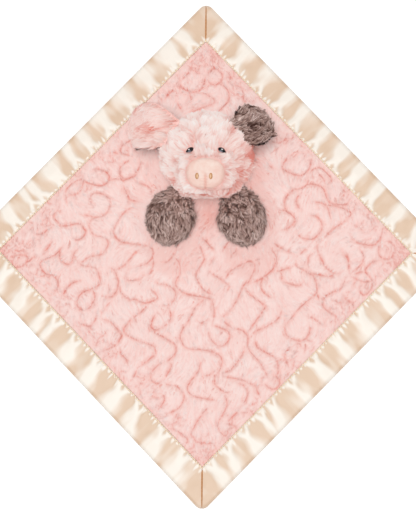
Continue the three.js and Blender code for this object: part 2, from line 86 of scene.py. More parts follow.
# The satin's pleats: each one's place along the seam and along the outer edge, counted from the
# strip's right or left corner for the upper strips and from the bottom or left corner for the lower
# ones, and its half width at the outer edge
PLEATS = {
    "upper_right": (
        (34, 41, 4.5), (61, 64, 6), (90, 93, 5), (114, 118, 5), (136, 140, 5.5), (164, 164, 4.5),
        (188, 193, 4), (211, 212, 4), (237, 242, 5.5), (269, 270, 7), (294, 298, 7)),
    "upper_left": (
        (57, 60, 6), (82, 83, 2.5), (94, 92, 3), (116, 116, 7.5), (138, 139, 4), (159, 157, 4),
        (181, 182, 7), (213, 210, 7), (239, 240, 7.5), (270, 270, 8), (290, 290, 5)),
    "lower_right": (
        (36, 37, 5), (58, 49, 4.5), (79, 77, 5.5), (100, 99, 2.5), (116, 108, 5.5), (141, 140, 6),
        (168, 170, 5.5), (198, 198, 6.5), (228, 226, 7.5), (256, 254, 3.5), (271, 271, 2.5),
        (292, 288, 4)),
    "lower_left": (
        (49, 44, 8), (76, 73, 7), (109, 100, 6), (131, 129, 7), (165, 159, 7), (194, 190, 6.5),
        (219, 216, 3), (232, 229, 4), (260, 254, 5.5), (286, 281, 5.5)),
}

# Head
HEAD_X = 2.5
HEAD_Y = 88.0
HEAD_HALF = np.array([41.5, 37.0, 29.0])
HEAD_SEAT = 27.0
COVER_THICKNESS = 2.4
FILLING_GAP = 0.6
MUZZLE_DROP = 16.8
MUZZLE_REACH = 40.0
MUZZLE_HALF_WIDTH = 21.0
MUZZLE_HALF_HEIGHT = 17.2
SNOUT_HALF_WIDTH = 17.8
SNOUT_HALF_HEIGHT = 14.2
MUZZLE_TILT = np.radians(9)
MUZZLE_BLUNTNESS = 6
SKULL_BLEND = 9
FILLET_BLEND = 4
MUZZLE_ROOT_SHARE = 0.4
BACK_SEAM_ANGLE = np.radians(104)

# Embroidered eyes and nostrils
EYE_SPACING = 28.4
EYE_DROP = 1.0
EYE_HALF_LENGTH = 3.7
EYE_HALF_WIDTH = 2.9
EYE_SLANT = np.radians(24)
NOSTRIL_SPACING = 11.8
NOSTRIL_DROP = 2.2
NOSTRIL_ASIDE = 1.2
NOSTRIL_HALF_WIDTH = 1.5
NOSTRIL_HALF_HEIGHT = 2.7
THREAD_SEAT = 0.55
THREAD_RISE = 0.9

# Neck
NECK_HALF_WIDTH = 14.0
NECK_HALF_DEPTH = 5.5
NECK_WALL = 1.8
NECK_Y = 63.2

# Ears: way to the root, length, half width, drop, cup, and bearings of root and tip
EAR_WIDEST_SHARE = 0.42
EAR_ROOT_SHARE = 0.66
EAR_FREE_SHARE = 0.33
EARS = {
    "left": dict(aim=(-0.84, 0.44, 0.3), length=39.5, half=21.0, drop=27.0, cup=9.0, root=153, tip=191),
    "right": dict(aim=(0.84, 0.49, 0.41), length=29.5, half=19.2, drop=22.0, cup=4.0, root=27, tip=44),
}

# Painted shadow on the blanket, cast towards the lower right by the head, the ears and the arms:
# how far it is shifted from what casts it, and how strongly and how far each thing shades it. The
# middle, half width and half height of the painted shade between the arms and under the pink ear
SHADE_SHIFT = (6.0, -6.0)
HEAD_PAINTED_SHADOW = (0.65, 8.0)
ARM_PAINTED_SHADOW = (0.5, 5.0)
EAR_PAINTED_SHADOW = (0.25, 5.0)
CHEST_PAINTED_SHADE = (0.0, 43.0, 15.0, 17.0)
EAR_SHADE = (-50.0, 97.0, 22.0, 22.0)

# Arms: shoulder, elbow and end of the paw on the blanket
ARM_HALF_WIDTH = 21.0
ARM_HALF_HEIGHT = 12.5
SHOULDER_HALF_WIDTH = 9.0
SHOULDER_HALF_HEIGHT = 3.4
PAW_SHARE = 0.6
PAW_HEIGHT_SHARE = 0.65
ARM_SEAT_SHARE = 0.92
PAW_ROUNDNESS = 2.4
ARMS = {
    "left": ((-17.0, 61.0), (-31.0, 44.0), (-34.0, 8.5)),
    "right": ((21.0, 60.0), (36.0, 44.0), (38.0, 8.5)),
}

# Pile: the edge of a tuft in mean distances, how much shorter blades are and how steeply they stand
# from a lock's middle to its edge, the depth of a blade's section and the bob of its curl as shares
# of its width and of its swing, and how deep it is rooted
TUFT_EDGE = 1.8
EDGE_SHORTER = 0.2
MIDDLE_LIFT = 1.2
EDGE_LIFT = 0.7
SECTION_DEPTH = 0.4
BOB_SHARE = 0.6
ROOT_DEPTH = 0.3
BLANKET_ROOT_DEPTH = 0.25
ARM_ROOT_DEPTH = 0.4

# Levels above the table, worked out from the layers
PLUSH_SEAT = LINING_THICKNESS + SEAM_GAP
BLANKET_TOP = PLUSH_SEAT + PLUSH_THICKNESS
LINING_EDGE_SEAT = SATIN_THICKNESS + SEAM_GAP
PLUSH_EDGE_SEAT = LINING_EDGE_SEAT + LINING_THICKNESS + SEAM_GAP
BINDING_TOP = PLUSH_EDGE_SEAT + PLUSH_EDGE_THICKNESS + SEAM_GAP + SATIN_THICKNESS
RESTING = BLANKET_TOP + SEAM_GAP
TIP_CUT = TIP_RADIUS * (1 - np.sqrt(0.5))
PANEL_INSET = FOLD_RUN + TIP_CUT + SEAM_GAP
SIDE = np.hypot(HALF_WIDTH, HALF_HEIGHT)
CORNER_SINE = 2 * HALF_WIDTH * HALF_HEIGHT / SIDE**2
SPAN = SIDE * CORNER_SINE
SKULL = np.array([HEAD_X, HEAD_Y, RESTING + HEAD_SEAT])
MUZZLE = SKULL - np.array([0.0, MUZZLE_DROP, 0.0])
FACE_ACROSS = np.array([1.0, 0.0, 0.0])
FACE_UP = np.array([0.0, np.cos(MUZZLE_TILT), np.sin(MUZZLE_TILT)])
FACE_OUT = np.array([0.0, -np.sin(MUZZLE_TILT), np.cos(MUZZLE_TILT)])

# Embossed lines: each is a few points on one smooth curve, on the blanket's face
GROOVES = (
    ((-103, 43), (-106, 48), (-106, 53), (-101, 56), (-93, 54), (-88, 49), (-88, 42), (-92, 36), (-100,
     33), (-115, 36)),
    ((-128, 53), (-129, 58), (-124, 64), (-117, 68), (-113, 67), (-117, 56), (-128, 53)),
    ((-113, 71), (-111, 66), (-100, 63), (-93, 64), (-89, 69), (-91, 74)),
    ((-78, 76), (-79, 71), (-75, 68), (-65, 72), (-63, 76)),
    ((-76, 64), (-71, 52), (-67, 49), (-59, 48)),
    ((-65, 43), (-73, 39), (-78, 33), (-84, 21), (-82, 15), (-78, 11), (-71, 10)),
    ((-98, 33), (-104, 31), (-107, 26), (-105, 20), (-101, 16), (-95, 15), (-90, 12), (-89, 7), (-92, 2),
     (-97, -2), (-107, -4), (-112, -8), (-117, -9)),
    ((-116, 5), (-120, 0), (-120, -4), (-117, -8)),
    ((-130, 7), (-138, -2), (-149, -7), (-152, -11), (-150, -16), (-146, -20), (-140, -21), (-136, -25),
     (-135, -30), (-137, -36), (-141, -38)),
    ((-160, 18), (-152, 17), (-143, 23)),
    ((-136, 28), (-131, 25), (-116, 27), (-112, 23), (-110, 19), (-113, 14), (-118, 12), (-123, 14)),
    ((-136, 39), (-140, 34), (-137, 29), (-132, 26)),
    ((-141, 10), (-151, -4)),
    ((-117, -9), (-112, -12), (-100, -15), (-96, -26), (-99, -31), (-110, -36), (-115, -40), (-117, -46),
     (-116, -52)),
    ((-88, -14), (-84, -15), (-81, -20), (-79, -27), (-80, -34), (-84, -40), (-89, -41), (-94, -40)),
    ((-114, -26), (-121, -28), (-126, -32), (-131, -41)),
    ((-132, 5), (-134, -1), (-132, -7), (-126, -11), (-122, -8), (-121, -2), (-118, 2)),
    ((-104, -33), (-101, -38), (-101, -43), (-105, -50), (-109, -53)),
    ((-155, -23), (-144, -21)),
    ((-179, 5), (-173, 1), (-168, 2), (-164, 0)),
    ((-183, -6), (-175, -3), (-167, -3), (-163, -6), (-167, -12), (-173, -14), (-179, -13)),
    ((-152, -4), (-157, -4), (-166, -11)),
    ((-168, 9), (-164, 7), (-165, 4)),
    ((-29, 156), (-24, 156), (-13, 151), (-4, 152)),
    ((-38, 143), (-34, 149), (-28, 154)),
    ((-72, 110), (-69, 106), (-77, 100), (-78, 94), (-67, 90)),
    ((-88, 95), (-78, 92)),
    ((-60, 88), (-60, 82), (-64, 75), (-70, 70), (-76, 70), (-79, 74), (-78, 81), (-68, 88)),
    ((-66, 99), (-65, 95), (-61, 93)),
    ((-112, 67), (-101, 63), (-94, 63), (-89, 67), (-89, 72), (-93, 76), (-99, 78), (-105, 77)),
    ((-89, 67), (-84, 69), (-80, 69), (-76, 67)),
    ((-64, 66), (-54, 63), (-50, 59), (-49, 53)),
    ((-72, 62), (-72, 56), (-69, 50)),
    ((29, 154), (31, 150)),
    ((60, 107), (64, 104), (70, 104), (75, 107), (76, 112)),
    ((59, 85), (61, 81), (66, 79)),
    ((62, 94), (70, 100)),
    ((78, 92), (72, 81), (76, 77), (87, 73), (93, 75), (97, 80), (100, 92)),
    ((104, 77), (110, 70), (112, 65)),
    ((97, 75), (101, 79), (108, 80), (117, 71), (116, 67), (112, 64)),
    ((96, 72), (95, 65), (89, 61), (83, 60), (78, 56), (75, 51), (74, 45), (77, 39), (84, 35)),
    ((90, 57), (87, 54), (85, 49), (87, 44), (90, 41)),
    ((92, 63), (98, 65), (105, 64), (110, 61), (114, 51), (118, 47), (125, 46), (132, 47), (134, 51)),
    ((99, 49), (110, 47), (114, 43), (117, 33)),
    ((111, 46), (124, 44), (135, 39), (133, 34), (128, 29), (121, 25), (111, 16)),
    ((98, 36), (104, 35), (108, 30), (109, 25), (107, 20), (102, 15), (96, 14), (89, 16), (85, 21)),
    ((66, 41), (76, 40), (84, 33), (83, 29), (79, 25), (71, 22)),
    ((135, 18), (141, 11), (156, 9), (163, 16), (164, 23)),
    ((163, 12), (161, 5), (162, -1), (168, -4), (174, -1), (176, 6), (173, 11), (166, 13)),
    ((126, 4), (130, 0), (133, -6), (134, -17)),
    ((77, 4), (82, 0)),
    ((86, -2), (97, 7)),
    ((177, 5), (181, 2), (185, 2)),
    ((-80, 13), (-75, 10), (-54, 7), (-49, 5), (-47, 1), (-48, -4), (-52, -9), (-62, -13)),
    ((-60, 3), (-65, -1), (-73, -11), (-82, -16)),
    ((-47, -5), (-47, -12), (-51, -22)),
    ((-56, -20), (-59, -24), (-64, -25), (-69, -25), (-74, -23)),
    ((-40, -8), (-35, -8), (-30, -4), (-25, 5)),
    ((-28, -3), (-24, -7), (-22, -12), (-22, -19), (-25, -24), (-26, -29), (-23, -33), (-17, -37), (-3,
     -40)),
    ((-47, -24), (-42, -28), (-35, -29), (-29, -32), (-26, -36), (-26, -41), (-29, -45), (-33, -48),
     (-37, -48)),
    ((-49, -33), (-43, -39), (-44, -43), (-54, -46), (-63, -43), (-68, -43), (-74, -39), (-77, -35),
     (-77, -28)),
    ((-67, -43), (-67, -48)),
    ((-53, -46), (-54, -51), (-69, -64), (-73, -73), (-62, -80), (-47, -85), (-44, -89), (-45, -94),
     (-60, -106)),
    ((-94, -61), (-87, -63), (-83, -66), (-76, -75), (-77, -80), (-80, -85), (-92, -91)),
    ((-89, -74), (-97, -80)),
    ((-106, -69), (-105, -74), (-98, -81)),
    ((-85, -44), (-93, -54), (-95, -59)),
    ((-101, -55), (-99, -59), (-101, -64), (-106, -68), (-117, -64)),
    ((-117, -45), (-116, -50), (-112, -53), (-108, -53)),
    ((-32, -51), (-30, -57), (-32, -64), (-39, -69), (-44, -71), (-48, -68), (-47, -62), (-44, -56)),
    ((-48, -71), (-29, -82), (-25, -87), (-26, -93), (-31, -98), (-36, -100)),
    ((-77, -87), (-75, -94), (-71, -98), (-69, -104)),
    ((-5, 10), (0, -3), (-1, -8), (-7, -20), (-2, -31), (4, -36), (10, -38)),
    ((-3, 17), (11, 1)),
    ((23, 12), (17, 2)),
    ((30, 8), (30, 4), (25, -3)),
    ((10, -3), (5, -10)),
    ((16, -10), (14, -15)),
    ((5, -17), (22, -28), (23, -32), (19, -36)),
    ((19, -25), (24, -17), (29, -13), (41, -7), (46, -9), (47, -13), (42, -25), (37, -29), (29, -46),
     (21, -56), (15, -59)),
    ((45, -7), (53, -4)),
    ((38, -31), (41, -36), (55, -47), (55, -52), (41, -72)),
    ((44, -27), (53, -23), (62, -16), (65, -11), (67, -5), (65, 1), (61, 6)),
    ((56, -21), (53, -26), (53, -31), (55, -35), (60, -39), (65, -40)),
    ((65, 14), (67, 8), (83, 0)),
    ((66, -17), (83, -11)),
    ((71, -17), (72, -23), (75, -26), (87, -29), (92, -26)),
    ((85, -6), (86, -11), (98, -18), (102, -22), (104, -29), (103, -37), (92, -46), (77, -64), (75, -69),
     (77, -75), (88, -80), (93, -78), (97, -74), (98, -68), (97, -64)),
    ((104, 10), (105, 3), (111, -10), (117, -16)),
    ((102, 2), (97, -2), (96, -8), (97, -13)),
    ((99, -17), (113, -20)),
    ((104, -34), (107, -45)),
    ((96, -59), (101, -59), (110, -66)),
    ((82, -84), (77, -89), (75, -95), (79, -104)),
    ((92, -81), (94, -85), (93, -91)),
    ((44, -76), (49, -71), (58, -67), (68, -60), (71, -55), (72, -49)),
    ((47, -78), (49, -84), (53, -88), (64, -94), (68, -98), (69, -109), (64, -111)),
    ((28, -69), (34, -70), (39, -73), (41, -77), (41, -84), (44, -91), (53, -101), (60, -114)),
    ((38, -86), (36, -93), (29, -103), (25, -107), (18, -110)),
    ((-13, -38), (6, -42), (9, -47), (10, -54), (9, -62)),
    ((2, -42), (-4, -46), (-8, -51), (-14, -63), (-18, -68), (-21, -75), (-21, -79), (-17, -86), (-12,
     -88), (2, -89), (14, -93), (17, -97), (17, -102), (14, -111)),
    ((4, -61), (-2, -64), (-6, -62)),
    ((8, -66), (20, -70), (24, -74), (24, -78), (21, -83), (16, -85), (10, -82), (6, -77), (4, -70)),
    ((17, -61), (27, -69)),
    ((107, 0), (113, -12), (118, -16), (123, -18), (128, -15)),
    ((127, 4), (133, -3), (134, -15)),
    ((143, 6), (147, 0), (147, -5), (144, -10), (135, -18)),
    ((162, -5), (155, -7), (150, -12), (149, -16), (157, -26)),
    ((96, -15), (101, -18), (115, -20), (122, -18)),
    ((130, -22), (129, -27), (125, -32), (113, -38), (110, -43), (110, -47), (114, -52), (123, -57)),
    ((135, -20), (147, -25), (155, -24)),
    ((143, -30), (145, -36), (149, -37), (154, -32), (156, -27)),
    ((128, -37), (132, -42), (137, -44), (141, -43)),
    ((135, -44), (138, -48), (137, -53)),
    ((149, -17), (145, -16), (137, -19)),
    ((-60, -106), (-65, -117)),
    ((-35, -100), (-41, -103), (-46, -108), (-48, -114), (-46, -118), (-41, -120), (-37, -117)),
    ((-33, -100), (-29, -104), (-36, -117)),
    ((-36, -118), (-32, -121), (-25, -122), (-20, -126), (-17, -131), (-19, -138), (-23, -143), (-33,
     -148)),
    ((-39, -129), (-35, -133), (-37, -139), (-41, -144)),
    ((0, -98), (-3, -103), (-4, -108), (-14, -123), (-8, -131), (13, -135)),
    ((11, -108), (5, -112), (-1, -111)),
    ((19, -113), (36, -116), (48, -121), (54, -119)),
    ((11, -113), (11, -120), (15, -124), (20, -127), (27, -127)),
    ((32, -119), (38, -121), (41, -127), (40, -133), (36, -139)),
    ((34, -143), (22, -156)),
    ((20, -128), (22, -140), (14, -157), (19, -166), (25, -168)),
    ((6, -141), (0, -147), (-10, -164), (-8, -169), (-3, -173), (12, -174)),
    ((-31, -161), (-25, -162), (-14, -170), (-16, -177)),
    ((-17, -131), (-14, -137)),
    ((63, -116), (66, -112), (70, -115), (70, -120), (66, -124), (61, -123), (55, -117)),
    ((48, -122), (53, -132)),
    ((24, -154), (26, -157), (31, -159), (29, -164)),
    ((-29, 157), (-24, 158), (-21, 154), (-12, 151), (-6, 152), (-2, 156), (0, 166)),
    ((-38, 144), (-35, 149), (-27, 155)),
    ((3, 166), (3, 170), (8, 173), (13, 171), (16, 166), (14, 161), (10, 158), (4, 159), (2, 163)),
    ((10, 158), (15, 158), (20, 154), (22, 148), (21, 142), (10, 130)),
    ((29, 154), (31, 150)),
    ((24, 158), (30, 157), (35, 152), (36, 143), (42, 143)),
    ((-7, 150), (-1, 150), (4, 147), (8, 144), (7, 140), (-10, 133), (-14, 130)),
    ((-21, 154), (-16, 153), (-14, 147), (-13, 143), (-17, 139)),
    ((-17, 176), (-14, 174), (-15, 170), (-29, 157)),
    ((1, 176), (6, 176), (10, 173), (15, 174)),
    ((18, 171), (22, 169), (23, 164), (21, 160)),
    ((-27, 142), (-21, 132)),
)


# Numbers on whole arrays


def ease(share):
    """3s^2 - 2s^3, held at 0 and 1."""
    held = np.clip(share, 0.0, 1.0)
    return held * held * (3.0 - 2.0 * held)


def lerp(a, b, share):
    return a + (b - a) * share


def unit(vectors):
    """Vectors divided by their lengths."""
    return vectors / np.maximum(np.linalg.norm(vectors, axis=-1, keepdims=True), 1e-12)


def noise(points, scale, seed):
    """Value noise from 0 to 1: seeded numbers on a cubic lattice of pitch `scale`, eased between."""
    cell = np.asarray(points, float) / scale
    base = np.floor(cell).astype(np.int64)
    part = ease(cell - base)
    total = np.zeros(cell.shape[:-1])
    dimensions = cell.shape[-1]
    primes = np.array([374761393, 668265263, 1440662683])[:dimensions]
    for corner in range(2**dimensions):
        bits = np.array([corner >> axis & 1 for axis in range(dimensions)])
        mixed = ((base + bits) * primes).sum(-1) + seed * 974634777 & 0xFFFFFFFF
        mixed = (mixed ^ mixed >> 13) * 1274126177 & 0xFFFFFFFF
        weight = np.where(bits, part, 1.0 - part).prod(-1)
        total += weight * ((mixed ^ mixed >> 16) & 0xFFFF) / 0xFFFF
    return total


def swing(points, scale, seed):
    """Value noise from -1 to 1."""
    return 2.0 * noise(points, scale, seed) - 1.0


def normals_of(grid):
    """Unit normals of a grid of points: the cross product of its two gradients."""
    return unit(np.cross(np.gradient(grid, axis=1), np.gradient(grid, axis=0)))


def wrapped(grid):
    """A grid with its first column repeated after its last."""
    return np.concatenate([grid, grid[:, :1]], axis=1)


def around(count, start=0.0):
    """Even turns round a full circle."""
    return np.linspace(start, start + 2 * np.pi, count + 1)[:-1]


def bell(distance, width):
    """exp(-(d/w)^2)."""
    return np.exp(-((distance / width) ** 2))


def sampled(field, rows, columns):
    """A field on a grid read between its points, weighting the four neighbours."""
    row = np.clip(rows.astype(int), 0, field.shape[0] - 2)
    column = np.clip(columns.astype(int), 0, field.shape[1] - 2)
    v = rows - row
    u = columns - column
    if field.ndim > 2:
        v, u = v[..., None], u[..., None]
    low = lerp(field[row, column], field[row, column + 1], u)
    high = lerp(field[row + 1, column], field[row + 1, column + 1], u)
    return lerp(low, high, v)


def rooted(grid, normals, count, rng, weight=1.0):
    """Seeded roots spread evenly over a grid's area, times a weight from 0 to 1 at its points: their
    coordinates in the grid, their places and their unit normals."""
    right = grid[:-1, 1:] - grid[:-1, :-1]
    down = grid[1:, :-1] - grid[:-1, :-1]
    weight = np.broadcast_to(weight, grid.shape[:2])[:-1, :-1]
    running = np.cumsum(np.linalg.norm(np.cross(right, down), axis=-1) * weight)
    cells = np.searchsorted(running, (np.arange(count) + rng.random(count)) / count * running[-1])
    cells = np.minimum(cells, running.size - 1)
    rows, columns = np.divmod(cells, weight.shape[1])
    rows = rows + rng.random(count)
    columns = columns + rng.random(count)
    return rows, columns, sampled(grid, rows, columns), unit(sampled(normals, rows, columns))


# Meshes

WELD_PITCH = 0.001


def welded(points, quads):
    """Join points in the same place, and drop the quads' doubled corners."""
    keys = np.floor(points / WELD_PITCH + 1 / 3).astype(np.int64)
    _, first, same = np.unique(keys, axis=0, return_index=True, return_inverse=True)
    quads = same.reshape(-1)[quads]
    doubled = quads == np.roll(quads, -1, axis=1)
    faces = [quads[doubled.sum(1) == 0]]
    for corner in range(4):
        some = (doubled.sum(1) == 1) & doubled[:, corner]
        faces.append(np.delete(quads[some], corner, axis=1))
    return first, faces


def new_piece(name, points, faces, material, attributes, map_corners=None):
    """A mesh object from points in millimetres and arrays of faces, with its faces outwards."""
    mesh = bpy.data.meshes.new(name)
    counts = np.concatenate([np.full(len(part), part.shape[1]) for part in faces])
    fans = [part[:, [0, k, k + 1]] for part in faces for k in range(1, part.shape[1] - 1)]
    a, b, c = (points[np.concatenate(fans)[:, k]] for k in range(3))
    if (a * np.cross(b, c)).sum() < 0:
        faces = [part[:, ::-1] for part in faces]
        if map_corners is not None:
            map_corners = [part[:, ::-1] for part in map_corners]
    mesh.vertices.add(len(points))
    mesh.vertices.foreach_set("co", (points * MM).ravel())
    corners = np.concatenate([part.ravel() for part in faces])
    mesh.loops.add(len(corners))
    mesh.loops.foreach_set("vertex_index", corners)
    mesh.polygons.add(len(counts))
    mesh.polygons.foreach_set("loop_start", np.cumsum(counts) - counts)
    mesh.polygons.foreach_set("use_smooth", np.ones(len(counts), bool))
    if map_corners is not None:
        uv = mesh.uv_layers.new(name="OFBake")
        flat = np.concatenate([part.reshape(-1, 2) for part in map_corners])
        uv.data.foreach_set("uv", flat.ravel())
    mesh.update(calc_edges=True)
    for key, values in attributes.items():
        mesh.attributes.new(key, "FLOAT", "POINT").data.foreach_set("value", values)
    mesh.materials.append(material)
    piece = bpy.data.objects.new(name, mesh)
    bpy.context.scene.collection.objects.link(piece)
    return piece


def shell(name, outer, inner, material, wrap=False, attributes=None):
    """A closed sheet: two grids of points joined round their rims. `wrap` closes the columns."""
    rows, columns = outer.shape[:2]
    index = np.arange(rows * columns).reshape(rows, columns)
    if wrap:
        index = wrapped(index)
    far = index + rows * columns
    quads = [grid_quads(index), grid_quads(far)[:, ::-1]]
    quads.append(rim_quads(index[0], far[0]))
    quads.append(rim_quads(far[-1], index[-1]))
    if not wrap:
        quads.append(rim_quads(far[:, 0], index[:, 0]))
        quads.append(rim_quads(index[:, -1], far[:, -1]))
    points = np.concatenate([outer.reshape(-1, 3), inner.reshape(-1, 3)])
    first, faces = welded(points, np.concatenate(quads))
    values = {k: np.tile(v.ravel(), 2)[first] for k, v in (attributes or {}).items()}
    return new_piece(name, points[first], faces, material, values)


def grid_quads(index):
    low, high = index[:-1], index[1:]
    return np.stack([low[:, :-1], low[:, 1:], high[:, 1:], high[:, :-1]], -1).reshape(-1, 4)


def rim_quads(near, far):
    return np.stack([near[1:], near[:-1], far[:-1], far[1:]], -1)


def ball(name, grid, material, attributes=None):
    """A closed body from a grid whose columns wrap and whose first and last rows are points."""
    rows, columns = grid.shape[:2]
    index = wrapped(np.arange(rows * columns).reshape(rows, columns))
    points = grid.reshape(-1, 3)
    first, faces = welded(points, grid_quads(index))
    values = {k: v.ravel()[first] for k, v in (attributes or {}).items()}
    return new_piece(name, points[first], faces, material, values)


def stamped(name, template, faces, origins, axes, material, attributes):
    """Copies of a small closed shape: each point is origin + x across + y along + z up."""
    points = origins[:, None] + np.einsum("pk,nkd->npd", template, axes)
    values = {k: np.repeat(v, len(template)) for k, v in attributes.items()}
    many = repeated(faces, len(origins), len(template))
    return new_piece(name, points.reshape(-1, 3), many, material, values)


def repeated(faces, count, size):
    """The faces of one shape of `size` points, for `count` copies of it in a row."""
    offsets = (np.arange(count) * size)[:, None, None]
    return [(part[None] + offsets).reshape(-1, part.shape[1]) for part in faces]


# Pile


def gathered(roots, ahead, per_tuft, stretch, rng):
    """Tufts of pile: the nearest of some seeded roots, in a measure that counts the distance along
    the combing `stretch` times shorter. Returns each blade's tuft, the blade in that tuft's middle,
    the vector from there in mean distances, and a share that rises to 1 at the tuft's edge."""
    count = len(roots)
    centres = rng.choice(count, max(1, int(count / per_tuft)), replace=False)
    places = roots[centres]
    square = (places**2).sum(-1)
    shorter = 1 - stretch**-2
    pairs_at_once = 4_000_000
    tufts = []
    for part in np.array_split(np.arange(count), max(1, count * len(centres) // pairs_at_once)):
        along = ahead[part] @ places.T - (ahead[part] * roots[part]).sum(-1, keepdims=True)
        tufts.append(np.argmin(square - 2 * roots[part] @ places.T - shorter * along**2, axis=1))
    tuft = np.concatenate(tufts)
    away = roots - places[tuft]
    gap = np.linalg.norm(away, axis=1)
    edge = np.clip(gap / (TUFT_EDGE * gap.mean()), 0, 1) ** 2
    return tuft, centres[tuft], away / gap.mean(), edge


def fur(name, roots, normals, headings, pile, material, seed, *, tone, skyward, length=1.0,
        floor=None):
    """Blades of pile on given roots, gathered into strands, and the strands into locks.

    A blade's line is root + length (cos(lift) heading + sin(lift) normal) t, bowed towards the
    surface with t squared, swung sideways by curl sin(2 pi waves t + phase), and its tip drawn
    towards the tips of its strand and of its lock. With e from 0 in a lock's middle to 1 at its
    edge, the blades there are shorter and lie lower. Their tone adds painted shade at the edges of
    locks and strands and painted light in their middles to the tone it is given. The section is a
    triangle that tapers. Its shading leans by `soft` towards the skin beneath, bulged out from the
    middle of each strand and lock and turned up by `skyward`.
    """
    rng = np.random.default_rng(seed)
    count = len(roots)
    ahead = unit(headings - (headings * normals).sum(-1, keepdims=True) * normals)
    stretch = pile["stretch"]
    lock, lock_root, away, edge = gathered(roots, ahead, pile["per_lock"], stretch, rng)
    strand, strand_root, aside, fine_edge = gathered(roots, ahead, pile["per_strand"], stretch, rng)

    def varied(low, high, tuft=slice(None)):
        return rng.uniform(low, high, count)[tuft]

    def strayed(kind):
        by_lock = rng.normal(0, pile[f"lock_{kind}"], count)[lock]
        return by_lock + rng.normal(0, pile[f"strand_{kind}"], count)[strand]

    length = pile["length"] * length * varied(0.85, 1.1)
    length = length * varied(0.8, 1.15, strand) * varied(0.85, 1.15, lock) * (1 - EDGE_SHORTER * edge)
    turn = strayed("turn")
    side = np.cross(normals, ahead)
    ahead = ahead * np.cos(turn)[:, None] + side * np.sin(turn)[:, None]
    side = np.cross(normals, ahead)
    lift = pile["lift"] * varied(0.7, 1.3, lock) * varied(0.7, 1.3, strand) * varied(0.85, 1.15)
    lift = lift * lerp(MIDDLE_LIFT, EDGE_LIFT, edge)
    reach = ahead * (length * np.cos(lift))[:, None]
    rise = normals * (length * np.sin(lift))[:, None]
    tips = roots + reach + rise
    drawn = (tips[strand_root] - tips) * pile["strand_pull"] + (tips[lock_root] - tips) * pile["pull"]
    phase = varied(0, 2 * np.pi, strand) + rng.normal(0, 0.3, count)
    stations = np.arange(pile["rings"] + 1) / pile["rings"]
    lines = []
    for t in stations:
        angle = 2 * np.pi * pile["waves"] * t + phase
        sway = side * (np.sin(angle) - np.sin(phase))[:, None]
        bob = normals * BOB_SHARE * (np.cos(angle) - np.cos(phase))[:, None]
        line = roots + reach * t + rise * (t - pile["bow"] * t * t) + drawn * t * t
        lines.append(line + (sway + bob) * pile["curl"])
    lines = np.stack(lines, 1)
    if floor is not None:
        lines[..., 2] = np.maximum(lines[..., 2], floor)
    width = pile["width"] * varied(0.75, 1.25)
    bulged = normals + pile["bulge"] * away + pile["strand_bulge"] * aside
    bulged = unit(bulged + [0.0, 0.0, skyward])[:, None]
    points, tip, shaded = blade_points(lines, stations, side, normals, bulged, width, pile)
    size = points.shape[1]
    shape, flat = blade_faces(pile["rings"])
    across = int(np.ceil(np.sqrt(count)))
    cells = np.stack([np.arange(count) % across, np.arange(count) // across], -1) / across
    maps = [(cells[:, None, None] + part[None] / across).reshape(-1, part.shape[1], 2) for part in flat]
    # Tone: random by lock and strand, the given tone, and painted shade at the edges of locks and
    # strands with painted light in their middles
    shade = strayed("tone") + tone
    shade = shade + pile["lock_painted_shading"] * (0.4 - edge) + pile["strand_painted_shading"] * (0.4 - fine_edge)
    values = {"tip": tip.ravel(), "tone": np.repeat(shade, size)}
    faces = repeated(shape, count, size)
    piece = new_piece(name, points.reshape(-1, 3), faces, material, values, maps)
    leaning = piece.data.attributes.new("custom_normal", "FLOAT_VECTOR", "POINT")
    leaning.data.foreach_set("vector", shaded.ravel())
    return piece


def blade_points(lines, stations, side, normals, bulged, width, pile):
    """Each blade's points, their shares of the way to its tip, and their shading normals: three
    round each station of its line, and one at its tip."""
    angles = np.radians([270, 30, 150])
    flat = normals[:, None] * SECTION_DEPTH * np.sin(angles)[:, None]
    ring = side[:, None] * np.cos(angles)[:, None] + flat
    leaned = unit(lerp(ring * [[[-1], [1], [1]]], bulged, pile["soft"]))
    points, tip, shaded = [], [], []
    for k, t in enumerate(stations[:-1]):
        radius = width / 2 * (1 - t**2 * pile["taper"])
        points.append(lines[:, k, None] + ring * radius[:, None, None])
        tip.append(np.full((len(lines), 3), t))
        shaded.append(leaned)
    points.append(lines[:, -1:])
    tip.append(np.ones((len(lines), 1)))
    shaded.append(bulged)
    return (np.concatenate(part, 1) for part in (points, tip, shaded))


def blade_faces(rings):
    """Faces of one blade and their places in its own small square of the map."""
    quads, quad_maps, tops, top_maps = [], [], [], []
    for ring in range(rings):
        low, high = (0.25 + 0.7 * k / rings for k in (ring, ring + 1))
        for k in range(3):
            a, b = ring * 3 + k, ring * 3 + (k + 1) % 3
            u, v = 0.05 + 0.3 * k, 0.35 + 0.3 * k
            if ring < rings - 1:
                quads.append((a, b, b + 3, a + 3))
                quad_maps.append(((u, low), (v, low), (v, high), (u, high)))
            else:
                tops.append((a, b, rings * 3))
                top_maps.append(((u, low), (v, low), ((u + v) / 2, high)))
    tops.append((2, 1, 0))
    top_maps.append(((0.1, 0.05), (0.9, 0.05), (0.5, 0.2)))
    pairs = [(tops, top_maps)] if rings == 1 else [(quads, quad_maps), (tops, top_maps)]
    return [np.array(faces) for faces, _ in pairs], [np.array(maps) for _, maps in pairs]


# The blanket

# Stations across the panels, and the spacing of points on a groove's line
PLUSH_STATIONS = 296
LINING_STATIONS = 90
LINE_STEP = 0.5

# Embossing: half widths of a groove's floor and of its shoulders, their shares of its depth, and how
# far from a line it still counts
GROOVE_FLOOR = 0.62
GROOVE_SHOULDER = 3.2
FLOOR_SHARE = 0.5
SHOULDER_SHARE = 0.28
GROOVE_REACH = 9.0

# Short creases: how many lie in the field and how many along the binding, and how far from it
FIELD_TICKS = 1300
BORDER_TICKS = 760
BORDER_REACH = 19.0

